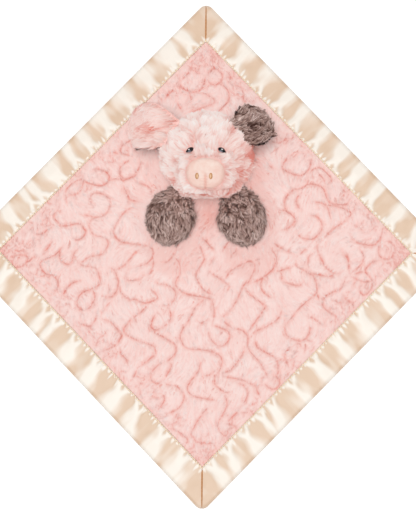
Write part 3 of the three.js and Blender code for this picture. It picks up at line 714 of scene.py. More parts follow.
# The top's heights: how much the panel is pressed, its lumps as pitch and height, and its strokes
PRESSED = 0.35
PLUSH_LUMPS = ((8.0, 0.35, 31), (3.2, 0.18, 32))
STROKE_HEIGHT = 0.16
CROWN_MARGIN = 0.3


def on_blanket(from_left, from_right, level):
    """A place on the diamond, by its distances from the lower left and the lower right edge."""
    rightward = from_left / CORNER_SINE / SIDE
    leftward = from_right / CORNER_SINE / SIDE
    x = (rightward - leftward) * HALF_WIDTH
    y = (rightward + leftward - 1) * HALF_HEIGHT
    return np.stack(np.broadcast_arrays(x, y, level), -1)


def field_share(from_left, from_right):
    """0 where the binding holds the panels, rising along a quarter sine to 1 in the open field."""
    inner = np.minimum(from_left, from_right) - LOWER_WIDTH
    outer = SPAN - np.maximum(from_left, from_right) - UPPER_WIDTH
    run = (np.minimum(inner, outer) - SEAM_LAP) / RAMP_LENGTH
    return np.sin(np.clip(run, 0, 1) * np.pi / 2)


def neck_fold(x, y):
    """Depth of the creases that fan out below the neck: a half sine of the distance times a wave."""
    away = np.hypot(x - HEAD_X, y - NECK_Y)
    turn = np.arctan2(x - HEAD_X, NECK_Y - y)
    reach = np.sin(np.pi * np.clip(away / NECK_FOLD_REACH, 0, 1))
    fan = np.cos(np.clip(turn, -np.pi / 2, np.pi / 2))
    return NECK_FOLD_DEPTH * reach * fan * (0.5 + 0.5 * np.cos(2 * np.pi * turn / NECK_FOLD_PITCH))


def smooth_line(points, step=LINE_STEP):
    """Evenly spaced points on the Catmull-Rom curve through a few given ones."""
    given = np.asarray(points, float)
    given = np.array([2 * given[0] - given[1], *given, 2 * given[-1] - given[-2]])
    parts = []
    for a, b, c, d in zip(given, given[1:], given[2:], given[3:]):
        count = max(2, int(np.hypot(*(c - b)) / step))
        t = (np.arange(count) / count)[:, None]
        bend = (2 * a - 5 * b + 4 * c - d) * t**2 + (3 * b - a - 3 * c + d) * t**3
        parts.append(b + 0.5 * ((c - a) * t + bend))
    return np.concatenate([*parts, given[-2:-1]])


def groove_lines(rng):
    """The embossed lines with a strength along each, and many short seeded ticks between them."""
    lines = []
    for index, points in enumerate(GROOVES):
        line = smooth_line(points)
        along = np.arange(len(line)) * LINE_STEP
        fade = np.clip(np.minimum(along, along[::-1]) / 4.0, 0.5, 1)
        strength = lerp(0.65, 1.0, noise(np.stack([along, along * 0 + index * 7.7], -1), 9.0, 5))
        lines.append((line, strength * fade))
    lines += ticks(rng, rng.uniform(-200, 200, (FIELD_TICKS, 2)), 0.7, 0.3, (1.5, 5.0), (0.12, 0.42))
    from_edge = LOWER_WIDTH + rng.uniform(1.0, BORDER_REACH, BORDER_TICKS)
    share = 0.5 - 0.5 * np.cos(np.pi * rng.random(BORDER_TICKS))
    along = lerp(LOWER_WIDTH, SPAN - UPPER_WIDTH, share)
    beyond = SPAN + LOWER_WIDTH - UPPER_WIDTH - from_edge
    sides = [[from_edge, along], [along, from_edge], [beyond, along], [along, beyond]]
    near_left, near_right = np.choose(rng.integers(0, 4, BORDER_TICKS), sides)
    border = on_blanket(near_left, near_right, 0.0)[:, :2]
    return lines + ticks(rng, border, 1.2, 0.6, (3.0, 8.0), (0.2, 0.65))


def ticks(rng, starts, turn, curve, reaches, strengths):
    """Short curved lines from given starts: each is turned off the combing direction by about
    `turn` radians and bent by up to `curve` of its length."""
    lines = []
    for start in starts:
        heading = comb_angle(*start) + rng.normal(0, turn)
        step = np.array([np.cos(heading), np.sin(heading)]) * rng.uniform(*reaches)
        bend = np.array([-step[1], step[0]]) * rng.uniform(-curve, curve)
        line = smooth_line([start, start + step / 2 + bend, start + step])
        lines.append((line, np.full(len(line), rng.uniform(*strengths))))
    return lines


def comb_angle(x, y):
    """Direction in which the pile is combed: down the blanket, wandering by up to a right angle."""
    place = np.stack([x, y], -1)
    return -np.pi / 2 + 1.1 * swing(place, 46.0, 11) + 0.8 * swing(place, 19.0, 12)


def groove_fields(x, y, rng):
    """Two shares for each point: exp(-(d/w)^2) of its distance to the nearest line, for a narrow
    and a wide w, times that line's strength."""
    flat = np.stack([x.ravel(), y.ravel()], -1)
    narrow, wide = np.zeros(x.size), np.zeros(x.size)
    ragged = lerp(0.6, 2.1, noise(flat, 1.7, 6))
    for line, strength in groove_lines(rng):
        low, high = line.min(0) - GROOVE_REACH, line.max(0) + GROOVE_REACH
        near = np.flatnonzero(((flat > low) & (flat < high)).all(-1))
        if near.size == 0:
            continue
        square = ((flat[near, None] - line) ** 2).sum(-1)
        best = square.argmin(1)
        distance = np.sqrt(square[np.arange(near.size), best]) * ragged[near]
        narrow[near] = np.maximum(narrow[near], strength[best] * bell(distance, GROOVE_FLOOR))
        wide[near] = np.maximum(wide[near], strength[best] * bell(distance, GROOVE_SHOULDER))
    return narrow.reshape(x.shape), wide.reshape(x.shape)


def combed(field, from_left, from_right, heading, steps, stride):
    """A field averaged along the combing direction, which draws it out into strokes."""
    rows, columns = np.indices(field.shape).astype(float)
    right = np.cos(heading) / HALF_WIDTH
    up = np.sin(heading) / HALF_HEIGHT
    leftward = (up - right) / 2 * CORNER_SINE * SIDE / np.gradient(from_right, axis=0)
    rightward = (up + right) / 2 * CORNER_SINE * SIDE / np.gradient(from_left, axis=1)
    total = np.zeros(field.shape)
    for step in range(-steps, steps + 1):
        row = np.clip(rows + leftward * stride * step, 0, field.shape[0] - 1.001)
        column = np.clip(columns + rightward * stride * step, 0, field.shape[1] - 1.001)
        total += sampled(field, row, column)
    spread = total - total.mean()
    return spread / spread.std()


def plush_lines(count):
    """Stations across the diamond: three hidden under each binding, the rest even in between."""
    low = LOWER_WIDTH - 2.0
    high = SPAN - UPPER_WIDTH + 2.0
    return np.concatenate([
        np.linspace(PANEL_INSET, low, 3)[:-1],
        np.linspace(low, high, count),
        np.linspace(high, SPAN - PANEL_INSET, 3)[1:],
    ])


def plush_surface(depth):
    """The plush panel's top: crowned cells between embossed grooves, neck folds and strokes."""
    rng = np.random.default_rng(21)
    lines = plush_lines(PLUSH_STATIONS)
    from_left, from_right = np.meshgrid(lines, lines)
    share = field_share(from_left, from_right)
    grid = on_blanket(from_left, from_right, 0.0)
    x, y = grid[..., 0], grid[..., 1]
    narrow, wide = groove_fields(x, y, rng)
    heading = comb_angle(x, y)
    strokes = combed(rng.random(x.shape), from_left, from_right, heading, steps=4, stride=0.8)
    level = lerp(PLUSH_EDGE_SEAT + PLUSH_EDGE_THICKNESS, PLUSH_SEAT + PLUSH_THICKNESS, share)
    level = level - PRESSED - neck_fold(x, y) * share
    lumps = sum(swing(grid[..., :2], pitch, seed) * height for pitch, height, seed in PLUSH_LUMPS)
    pressed = depth * (FLOOR_SHARE * narrow + SHOULDER_SHARE * wide)
    level = level + share * (lumps + STROKE_HEIGHT * strokes - pressed)
    grid[..., 2] = np.minimum(level, BLANKET_TOP + CROWN_MARGIN)
    return dict(grid=grid, share=share, narrow=narrow, wide=wide, strokes=strokes,
                painted_shadow=painted_shadow_share(x, y))


def plush_piece(surface, material):
    """The panel closed from below: its rim goes down to the seat, and a fan closes the underside."""
    grid = surface["grid"]
    rows, columns = grid.shape[:2]
    index = np.arange(rows * columns).reshape(rows, columns)
    rim = np.concatenate([index[0, :-1], index[:-1, -1], index[-1, :0:-1], index[:0:-1, 0]])
    points = grid.reshape(-1, 3)
    under = points[rim] * [1, 1, 0] + [0, 0, PLUSH_EDGE_SEAT]
    low = len(points) + np.arange(len(rim))
    after = np.roll(low, -1)
    walls = np.stack([np.roll(rim, -1), rim, low, after], -1)
    fan = np.stack([after, low, np.full(len(rim), len(points) + len(rim))], -1)
    # Painted shade for the plush's colour: the groove share darkens the grooves, and the hollow share
    # darkens their shoulders and the painted shadow of the head, the ears and the arms
    shown = {"groove": surface["narrow"], "hollow": np.maximum(surface["wide"], surface["painted_shadow"]),
             "stroke": surface["strokes"]}
    values = {k: np.append(v.ravel(), np.zeros(len(rim) + 1)) for k, v in shown.items()}
    points = np.concatenate([points, under, [[0, 0, PLUSH_SEAT]]])
    return new_piece("blanket_plush", points, [grid_quads(index), walls, fan], material, values)


def oval_gap(x, y, across, up, half_width, half_height):
    """About how far a place lies outside an oval."""
    return (np.hypot((x - across) / half_width, (y - up) / half_height) - 1) * half_height


def painted_shadow_share(x, y):
    """How much painted shadow a place on the blanket gets from the head, an ear or an arm, and painted
    shade between the arms: exp(-(d/w)^2) of the distance from each outline, shifted as a shadow falls."""
    x, y = x - SHADE_SHIFT[0], y - SHADE_SHIFT[1]
    near = bell(oval_gap(x, y, *CHEST_PAINTED_SHADE) / CHEST_PAINTED_SHADE[3] + 1, 1.0)
    gaps = [(HEAD_PAINTED_SHADOW, oval_gap(x, y, HEAD_X, HEAD_Y, HEAD_HALF[0], HEAD_HALF[1])),
            (EAR_PAINTED_SHADOW, oval_gap(x, y, *EAR_SHADE))]
    for points in ARMS.values():
        line = smooth_line(points, 3.0)
        away = np.hypot(x[..., None] - line[:, 0], y[..., None] - line[:, 1]).min(-1)
        gaps.append((ARM_PAINTED_SHADOW, away - ARM_HALF_WIDTH))
    for (weight, width), gap in gaps:
        near = np.maximum(near, weight * bell(np.maximum(gap, 0), width))
    return near


def plush_pile(surface, pile, material, count):
    """Short combed pile over the open field, thinner in the grooves and left out under the head."""
    grid = surface["grid"]
    weight = (surface["share"] > 0.06) * (1.0 - 0.9 * np.clip(surface["narrow"] * 1.6, 0, 1))
    under_head = ((grid[..., 0] - HEAD_X) / 33) ** 2 + ((grid[..., 1] - HEAD_Y) / 30) ** 2 < 1
    rng = np.random.default_rng(22)
    rows, columns, roots, normals = rooted(grid, normals_of(grid), count, rng, weight * ~under_head)
    normals = normals * np.sign(normals[:, 2:3])
    heading = comb_angle(roots[:, 0], roots[:, 1])
    ahead = np.stack([np.cos(heading), np.sin(heading), np.zeros(count)], -1)
    # Painted shade on the pile beside the grooves, and painted shadow near the head, the ears and the
    # arms
    painted_shadow = sampled(surface["painted_shadow"], rows, columns)
    tone = -1.0 * sampled(surface["wide"], rows, columns) - 1.6 * painted_shadow
    return fur("blanket_pile", roots - normals * BLANKET_ROOT_DEPTH, normals, ahead, pile, material, 23,
               tone=tone, skyward=1.0)


def lining_grid(step):
    """The back lining: flat on the table, rising to the binding, with a slight ripple."""
    lines = np.linspace(PANEL_INSET, SPAN - PANEL_INSET, LINING_STATIONS)
    from_left, from_right = np.meshgrid(lines, lines)
    share = field_share(from_left, from_right)
    grid = on_blanket(from_left, from_right, lerp(LINING_EDGE_SEAT, 0.0, share) + step)
    grid[..., 2] += 0.12 * noise(grid[..., :2], 22.0, 41) * share * (step > 0)
    return grid


# The satin binding

# Rows of the strip's grid on its top, round its fold and below, and its columns
TOP_ROWS = 26
FOLD_ROWS = 7
UNDER_ROWS = 5
SATIN_COLUMNS = 561

# Pleats: how far a fold wanders and at what pitch, where its two roots part and in what share of the
# strip's width, and how tall the drops of the gathers are
PLEAT_WANDER = ((1.1, 6.0), (0.5, 2.5))
PARTING_START = 0.58
PARTING_RUN = 0.4
DROP_HEIGHTS = (2.0, 8.0)

# Heights of the gathers, of the slack between pleats and of the pinch at the seam, and the length in
# which all of them die out at a mitre
GATHER_RISE = 0.35
SAG = 0.35
SEAM_PINCH = 0.2
MITRE_FADE = 6.0


def pleated(along, across, pleats, seed):
    """How far each place stands on a pleat, 0 to 1. A pleat is broad at the outer edge and parts
    into two roots at the seam, and fine gathers stand between the roots as small drops."""
    place = np.stack([along, across * 12.0], -1)
    for index, (reach, pitch) in enumerate(PLEAT_WANDER):
        along = along + reach * swing(place, pitch, seed + index)
    parting = ease((across - PARTING_START) / PARTING_RUN)
    raised = np.zeros(along.shape)
    for seam, outer, half in pleats:
        away = np.abs(np.abs(along - lerp(outer, seam, across)) - ROOT_SPREAD * parting)
        wide = lerp(1.2 * half, ROOT_HALF_WIDTH, ease((across - 0.25) / 0.75))
        raised = np.maximum(raised, np.exp(-0.7 * (away / wide) ** 2.4))
    phase = along / GATHER_PITCH
    drop = np.floor(phase + 0.5)
    aside = (phase - drop) * GATHER_PITCH / GATHER_HALF_WIDTH
    height = lerp(*DROP_HEIGHTS, noise(drop[..., None], 1.0, seed + 2) ** 2)
    gather = ease((1.3 - np.hypot(aside, (1 - across) * LOWER_WIDTH / height)) / 0.8)
    return raised, gather


def binding_grid(word, width, locate, rise, seed):
    """One side's strip. Its rows run from the inner edge on top, round the fold, to the inner edge
    below. The top swells with its pleats and gathers, which are pressed flat by the seam."""
    mitre_gap = SEAM_GAP * np.sqrt(0.5)
    run = np.linspace(0, 1, SATIN_COLUMNS)[None]
    fold = np.linspace(0, np.pi, FOLD_ROWS + 2)[1:-1]
    fold_share = FOLD_RUN / width
    top_share = lerp(fold_share, 1.0, np.append(1.0, np.linspace(0.994, 0, TOP_ROWS - 1)))
    under_share = np.linspace(fold_share, 1, UNDER_ROWS)
    across = np.concatenate([top_share, fold_share * (1 - np.sin(fold)), under_share])[:, None]
    top, under = np.ones(TOP_ROWS), np.zeros(UNDER_ROWS)
    height = np.concatenate([top, 0.5 + 0.5 * np.cos(fold), under])[:, None]
    on_top = np.concatenate([top, np.clip(np.cos(fold), 0, 1), under])[:, None]
    outer_along = lerp(TIP_CUT + mitre_gap, SPAN - TIP_CUT - mitre_gap, run)
    to_tip = np.minimum(np.minimum(outer_along, SPAN - outer_along), TIP_RADIUS)
    tip_cut = TIP_RADIUS - np.sqrt(TIP_RADIUS**2 - (TIP_RADIUS - to_tip) ** 2)
    inner_along = lerp(LOWER_WIDTH + mitre_gap, SPAN - UPPER_WIDTH - mitre_gap, run)
    along = lerp(outer_along, inner_along, across)
    inward = lerp(tip_cut, width, across)
    swell, gather = pleated(along, np.broadcast_to(across, along.shape), PLEATS[word], seed)
    to_mitre = np.minimum(along - LOWER_WIDTH * across, SPAN - UPPER_WIDTH * across - along)
    ends = ease(to_mitre / MITRE_FADE)
    grow = np.interp(across, [0, fold_share, 0.5, 0.92, 1.0], [0.0, 0.4, 1.0, 0.8, 0.3])
    slack = np.stack(np.broadcast_arrays(along, across * 20.0), -1)
    sag = SAG * swing(slack, 9.0, seed + 5)
    raised = (swell * grow * rise + gather * GATHER_RISE + sag * grow) * ends * on_top
    pinch = SEAM_PINCH * on_top * np.clip((across - 0.94) / 0.06, 0, 1)
    grid = locate(along, inward, BINDING_TOP * height + raised - pinch)
    # The painted sheen: a painted highlight on the pleats and gathers and painted shade between them,
    # streaked, and painted darker round the fold and below
    place = np.stack(np.broadcast_arrays(along, across * 14.0), -1)
    streak = 0.2 * swing(place * [1, 0.36], 3.4, seed + 6) + 0.22 * swing(place, 6.5, seed + 7)
    painted_sheen = np.clip(np.maximum(0.92 * swell, 0.8 * gather) + streak + 0.04, 0, 1)
    return grid, painted_sheen * np.clip(on_top * 1.4, 0.45, 1)


def inner_skin(grid, thickness):
    """The same grid moved inwards along its normals."""
    normals = normals_of(grid)
    outwards = np.sign(normals[2, :, 2].mean()) or 1.0
    return grid - normals * thickness * outwards


# The head


def head_reach(direction, inset, blend=SKULL_BLEND):
    """Distance from the muzzle's middle to the head's surface: the ray through the skull ellipsoid
    and a blunt muzzle of power 6, joined as (skull^9 + muzzle^9)^(1/9)."""
    half = HEAD_HALF - inset
    ray = direction / half
    offset = np.array([0.0, MUZZLE_DROP, 0.0]) / half
    along = ray @ offset
    square = (ray * ray).sum(-1)
    skull = (along + np.sqrt(along**2 + square * (1 - offset @ offset))) / square
    ahead = direction @ FACE_OUT
    behind = -ahead / (HEAD_HALF[2] * MUZZLE_ROOT_SHARE)
    out = np.where(ahead > 0, ahead / (MUZZLE_REACH - inset), behind)
    across = np.abs(direction @ FACE_ACROSS) / (MUZZLE_HALF_WIDTH - inset)
    up = np.abs(direction @ FACE_UP) / (MUZZLE_HALF_HEIGHT - inset)
    power = MUZZLE_BLUNTNESS
    muzzle = (out**power + across**power + up**power) ** (-1 / power)
    return (skull**blend + muzzle**blend) ** (1 / blend)


def on_head(direction, inset, out=0.0):
    """A place on the head, flat where it lies on the blanket. `out` adds to the distance."""
    place = MUZZLE + direction * (head_reach(direction, inset) + out)[..., None]
    place[..., 2] = np.maximum(place[..., 2], RESTING + inset)
    return place


def head_direction(turn, row):
    """Directions from the muzzle's middle: rows 0 to 1 cover the snout, 1 to 2 the face, and 2 to
    3 the back of the head; `turn` goes round the snout."""
    across = np.cos(turn) * SNOUT_HALF_WIDTH
    up = np.sin(turn) * SNOUT_HALF_HEIGHT
    rim = np.arctan2(np.hypot(across, up), MUZZLE_REACH)
    aside = unit(across[..., None] * FACE_ACROSS + up[..., None] * FACE_UP)
    tilt = rim * row
    snout_rim = rim + SEAM_GAP / MUZZLE_REACH
    tilt = np.where(row > 1, lerp(snout_rim, BACK_SEAM_ANGLE, row - 1), tilt)
    back_rim = BACK_SEAM_ANGLE + SEAM_GAP / HEAD_HALF[2]
    tilt = np.where(row > 2, lerp(back_rim, np.pi, row - 2), tilt)
    return aside * np.sin(tilt)[..., None] + FACE_OUT * np.cos(tilt)[..., None]


def head_patch(turns, rows, inset, lump=1.0):
    """A grid on the head with soft lumps, and the hollow round the muzzle filled out."""
    turn, row = np.meshgrid(turns, rows)
    direction = head_direction(turn, row)
    smooth = on_head(direction, inset)
    lumps = lump * (0.9 * swing(smooth, 9.0, 51) + 0.5 * swing(smooth, 4.5, 52))
    fillet = head_reach(direction, inset, FILLET_BLEND) - head_reach(direction, inset)
    for eye, _ in EYES:
        eye_gap = np.linalg.norm(smooth - eye_middle(eye), axis=-1)
        fillet = fillet * (1 - np.exp(-((eye_gap / EYE_CLEARANCE) ** 4)))
    return on_head(direction, inset, (lumps + fillet * lump) * np.clip((row - 1.0) * 12, 0, 1))


def face_pieces(word, turns, rows, look):
    """One cover of the head with its pile: a closed sheet, and locks combed away from the snout."""
    closed = word == "back"
    outer = head_patch(turns, rows, COVER_SINK)
    inner = head_patch(turns, rows, COVER_THICKNESS, 0.0)
    cover = shell(f"head_{word}_cover", outer, inner, look["cover"], wrap=closed)
    dressed(cover, "head", [f"head_{word}_panel"])
    grid = wrapped(outer) if closed else outer
    normals = normals_of(grid)
    normals = normals * np.sign(((grid - SKULL) * normals).sum(-1, keepdims=True))
    open_air = ease((normals[..., 2] + 0.75) / 0.5)
    rng = np.random.default_rng(look["seed"])
    weight = lerp(0.15, 1.0, open_air)
    at_rows, at_columns, roots, out = rooted(grid, normals, look["count"], rng, weight)
    x, y = roots[:, 0] - HEAD_X, roots[:, 1]
    wander = np.stack([swing(roots, COMB_PITCH, 61), swing(roots, COMB_PITCH, 62), 0 * x], -1)
    ahead = unit(sampled(unit(np.gradient(grid, axis=0)), at_rows, at_columns))
    ahead = unit(ahead + COMB_WANDER * wander)
    over_seam = SEAM_LEAN * np.sign(x) * bell(x, SEAM_LEAN_WIDTH)
    ahead = unit(ahead - over_seam[:, None] * FACE_ACROSS)
    size = lerp(0.3, 1.0, sampled(open_air, at_rows, at_columns))
    kept = np.ones(len(roots), bool)
    for eye, _ in EYES:
        place = eye_middle(eye)
        gap = np.linalg.norm(roots - place, axis=1)
        towards = ((place - roots) * ahead).sum(-1) > 0
        shorter = np.clip((gap - EYE_TRIM_START) / lerp(*EYE_TRIM_RUNS, towards), 0.25, 1)
        size = np.where(gap < EYE_TRIM_END, size * shorter, size)
        kept &= gap > EYE_HALF_LENGTH - 0.1
    rim_gap = np.linalg.norm(roots - MUZZLE - FACE_OUT * MUZZLE_REACH, axis=1)
    size = size * np.clip(rim_gap / FULL_LENGTH_GAP, 0.7, 1.0)
    pile = fur(f"head_{word}_pile", (roots - out * ROOT_DEPTH)[kept], out[kept], ahead[kept],
               look["pile"], look["hair"], look["seed"] + 1, length=size[kept],
               tone=face_painted_shading(x, y, out)[kept], floor=RESTING + 0.2, skyward=1.4)
    dressed(pile, "head")
    # Pale pile passes light on, so it casts no shadow of its own
    pile.visible_shadow = False


def face_painted_shading(x, y, out):
    """How pale the face's pile is: painted light on the forehead, the chin and a little on the left, and
    painted shade where it turns down and on the side that lies away from the light."""
    chin = bell(x, 15.0) * ease((MUZZLE[1] - 11 - y) / 4)
    aside = x / HEAD_HALF[0]
    tone = PLAIN_TONE + CHIN_PAINTED_LIGHT * chin + FOREHEAD_PAINTED_LIGHT * ease((y - 92) / 12)
    tone = tone + RIGHT_PAINTED_SHADE * np.clip(aside, 0, 1) ** 2 + LEFT_PAINTED_LIGHT * np.clip(-aside, 0, 1) ** 2
    return tone + TURNED_PAINTED_SHADE * ease((0.35 - out[:, 2]) / 0.6)


EYES = (("left", -1), ("right", 1))

# How far the filled hollow keeps off an eye, and how deep the covers lie under the head's outline
EYE_CLEARANCE = 9.0
COVER_SINK = 0.8

# The face's combing: how far it wanders and at what pitch, and how the pile leans over the middle
# seam. Where the pile grows short round an eye, in what run behind it and in front of it, and how
# far from the snout's middle the pile has its full length
COMB_WANDER = 0.55
COMB_PITCH = 17.0
SEAM_LEAN = 0.9
SEAM_LEAN_WIDTH = 3.0
EYE_TRIM_START = 3.2
EYE_TRIM_END = 13
EYE_TRIM_RUNS = (4.5, 7.5)
FULL_LENGTH_GAP = 26.0

# How pale the face's pile is: everywhere, then what the chin, the forehead, the right side, the left
# side and what turns down add: painted light on the chin, the forehead and the left side, and painted
# shade on the right side and where the pile turns down
PLAIN_TONE = 0.2
CHIN_PAINTED_LIGHT = 0.25
FOREHEAD_PAINTED_LIGHT = 0.5
RIGHT_PAINTED_SHADE = -2.5
LEFT_PAINTED_LIGHT = 0.2
TURNED_PAINTED_SHADE = -2.5


def eye_middle(word):
    side = dict(EYES)[word]
    aim = unit(np.array([side * EYE_SPACING / 2, MUZZLE_DROP - EYE_DROP, HEAD_HALF[2]]))
    return on_head(aim[None], 0.0)[0]


def embroidered(name, middle, right, up, outline, paint, material):
    """A domed patch of thread: share s of an outline, raised by 0.9 (1 - 0.85 s^2) off the head."""
    turn, share = np.meshgrid(around(48), np.linspace(0, 1, 15))
    across, along = (part * share for part in outline(turn))
    target = middle + across[..., None] * right + along[..., None] * up
    direction = unit(target - MUZZLE)
    ridges = 0.06 * np.sin(along / 0.16)
    low = on_head(direction, 0.0) + direction * THREAD_SEAT
    high = low + direction * (THREAD_RISE * (1 - 0.85 * share**2) + ridges)[..., None]
    return shell(name, high, low, material, wrap=True, attributes=paint(across, along))


# The ears


def bearing_step(bearing, length):
    return np.array([np.cos(bearing), np.sin(bearing), 0.0]) * length


def leaf_share(share):
    """Width of an ear along its length: eased out from the root, then a quarter ellipse."""
    wide = lerp(EAR_ROOT_SHARE, 1.0, ease(share / EAR_WIDEST_SHARE))
    rest = (np.maximum(share, EAR_WIDEST_SHARE) - EAR_WIDEST_SHARE) / (1 - EAR_WIDEST_SHARE)
    return np.where(share < EAR_WIDEST_SHARE, wide, np.sqrt(np.maximum(0, 1 - rest**2)))


def ear_loose(ear, u, share, level):
    """An ear along a quadratic curve from its root, cupped as u^2 and dropping as share^2."""
    bend = bearing_step(np.radians(ear["root"]), ear["length"] / 2)
    tip = bend + bearing_step(np.radians(ear["tip"]), ear["length"] / 2)
    s = share[..., None]
    route = 2 * s * (1 - s) * bend + s * s * tip
    ahead = unit((1 - s) * bend + s * (tip - bend)) * ear["length"]
    across = unit(np.stack([-ahead[..., 1], ahead[..., 0], 0 * share], -1))
    ahead = ahead - np.stack([0 * share, 0 * share, 2 * ear["drop"] * share], -1)
    normal = unit(np.cross(ahead, across))
    leaf = leaf_share(share)
    rise = level + ear["cup"] * u**2 * leaf**2 * ease(share / EAR_FREE_SHARE)
    aim = np.array(ear["aim"])
    root = SKULL + aim / np.linalg.norm(aim / HEAD_HALF)
    place = root + route + across * (u * ear["half"] * leaf)[..., None] + normal * rise[..., None]
    place[..., 2] -= ear["drop"] * share**2
    return place


def ear_surface(ear, u, share, level):
    """The loose ear with its root drawn onto the head, found by halving along the root's bearing."""
    outwards = bearing_step(np.radians(ear["root"]), 1.0)
    start = ear_loose(ear, u, 0 * share, level)
    inside = np.full(u.shape, -HEAD_HALF[0])
    outside = -inside
    for _ in range(24):
        step = (inside + outside) / 2
        ray = start + outwards * step[..., None] - MUZZLE
        distance = np.linalg.norm(ray, axis=-1)
        clear = distance - head_reach(ray / distance[..., None], 0.0) > SEAM_GAP
        inside = np.where(clear, inside, step)
        outside = np.where(clear, step, outside)
    seam = outside * (1 - ease(share / EAR_FREE_SHARE))
    return ear_loose(ear, u, share, level) + outwards * seam[..., None]


def left_ear_folds(u, share):
    """Depth of the hollow in the middle of the pink ear and of the crease that runs to its root."""
    hollow = 4.2 * bell(u - 0.05, 0.26) * bell(share - 0.42, 0.17)
    crease = 2.6 * bell(u + 0.1 - 0.5 * (0.4 - share), 0.13) * np.clip((0.5 - share) * 4, 0, 1)
    return hollow + crease


def right_ear_folds(u, share):
    """Depth of the notch between the taupe ear's lobes."""
    return 2.4 * bell(u + 0.15, 0.2) * bell(share - 0.35, 0.3)


# An ear's thickness in its middle and at its edge, its grid, and the painted shade of its pile in a
# dent and where it turns down
EAR_MIDDLE_THICKNESS = 2.5
EAR_EDGE_THICKNESS = 1.0
EAR_COLUMNS = 41
EAR_ROWS = 36
DENT_PAINTED_SHADE = 2.0
EAR_TURNED_PAINTED_SHADE = 1.5

# What differs between an ear's two panels: their blades as a share of the front's, the length of the
# blades at the edge, and how far the shading turns up
EAR_PANELS = (("front", 1, 1.0, 0.85, 1.6), ("back", -1, 0.6, 0.4, 0.6))


def ear_pieces(word, folds, look, opaque):
    """The two panels of an ear, sewn back to back, and the pile on both."""
    ear = EARS[word]
    body = f"ear_{word}"
    u, share = np.meshgrid(np.linspace(-1, 1, EAR_COLUMNS), np.linspace(0, 1, EAR_ROWS))
    edge = np.maximum(np.abs(u) ** 3, share**4)
    thick = lerp(EAR_MIDDLE_THICKNESS, EAR_EDGE_THICKNESS, edge)
    dent = folds(u, share)
    for panel, sign, amount, edge_length, skyward in EAR_PANELS:
        base = ear_surface(ear, u, share, sign * SEAM_GAP / 2 - dent)
        lumps = 0.5 * swing(base, 7.0, 71) * (1 - edge)
        face = ear_surface(ear, u, share, sign * (SEAM_GAP / 2 + thick + lumps) - dent)
        cover = shell(f"{body}_{panel}_cover", face, base, look["cover"])
        dressed(cover, body, [f"{body}_{panel}"])
        normals = normals_of(face)
        toward = np.sign((normals * (face - base)).sum(-1).mean())
        rng = np.random.default_rng(look["seed"] + sign)
        rows, columns, roots, out = rooted(face, normals * toward, int(look["count"] * amount), rng)
        down = unit(sampled(np.gradient(face, axis=0), rows, columns))
        spread = sampled(u, rows, columns)[:, None] * look["fan"] * sign * toward
        ahead = unit(down + np.cross(out, down) * spread + look["comb"])
        # Painted shade in the ear's hollow and crease and where the pile turns down
        dark = DENT_PAINTED_SHADE * sampled(dent, rows, columns) / max(1.0, dent.max())
        dark = dark + EAR_TURNED_PAINTED_SHADE * ease((0.1 - out[:, 2]) / 0.6)
        pile = fur(f"{body}_{panel}_pile", roots - out * ROOT_DEPTH, out, ahead, look["pile"],
                   look["hair"], look["seed"] + 5 + sign, tone=0.2 - dark, floor=RESTING - 0.2,
                   length=lerp(1.0, edge_length, sampled(edge, rows, columns)), skyward=skyward)
        dressed(pile, body)
        # Pale pile passes light on, so only the dark pile casts a shadow of its own
        pile.visible_shadow = opaque


# The arms


def arm_share(share, shoulder):
    """Size of an arm's section along it: eased up from the shoulder, then round to the paw's end."""
    swell = lerp(shoulder, 1.0, ease(share / PAW_SHARE))
    rest = (np.maximum(share, PAW_SHARE) - PAW_SHARE) / (1 - PAW_SHARE)
    return np.where(share < PAW_SHARE, swell, np.sqrt(np.maximum(0, 1 - rest**PAW_ROUNDNESS)))


def arm_surface(word, turn, share, inset):
    """An arm along a quadratic curve, elliptical in section and flat where it lies."""
    shoulder, elbow, paw = (np.array([*p, RESTING]) for p in ARMS[word])
    length = np.linalg.norm(elbow - shoulder) + np.linalg.norm(paw - elbow)
    s = (share * (1 - inset / length))[..., None]
    route = (1 - s) ** 2 * shoulder + 2 * s * (1 - s) * elbow + s * s * paw
    ahead = unit((1 - s) * (elbow - shoulder) + s * (paw - elbow))
    aside = np.stack([-ahead[..., 1], ahead[..., 0], 0 * share], -1)
    wide = (ARM_HALF_WIDTH - inset) * arm_share(share, SHOULDER_HALF_WIDTH / ARM_HALF_WIDTH)
    tall = ARM_HALF_HEIGHT * arm_share(share, SHOULDER_HALF_HEIGHT / ARM_HALF_HEIGHT)
    seated = lerp(tall, ARM_HALF_HEIGHT * PAW_HEIGHT_SHARE, 1 - PAW_HEIGHT_SHARE)
    middle = np.where(share < PAW_SHARE, tall, seated) * ARM_SEAT_SHARE
    place = route + aside * (wide * np.cos(turn))[..., None]
    place[..., 2] += np.maximum(inset, middle + tall * (1 - inset / ARM_HALF_HEIGHT) * np.sin(turn))
    return place


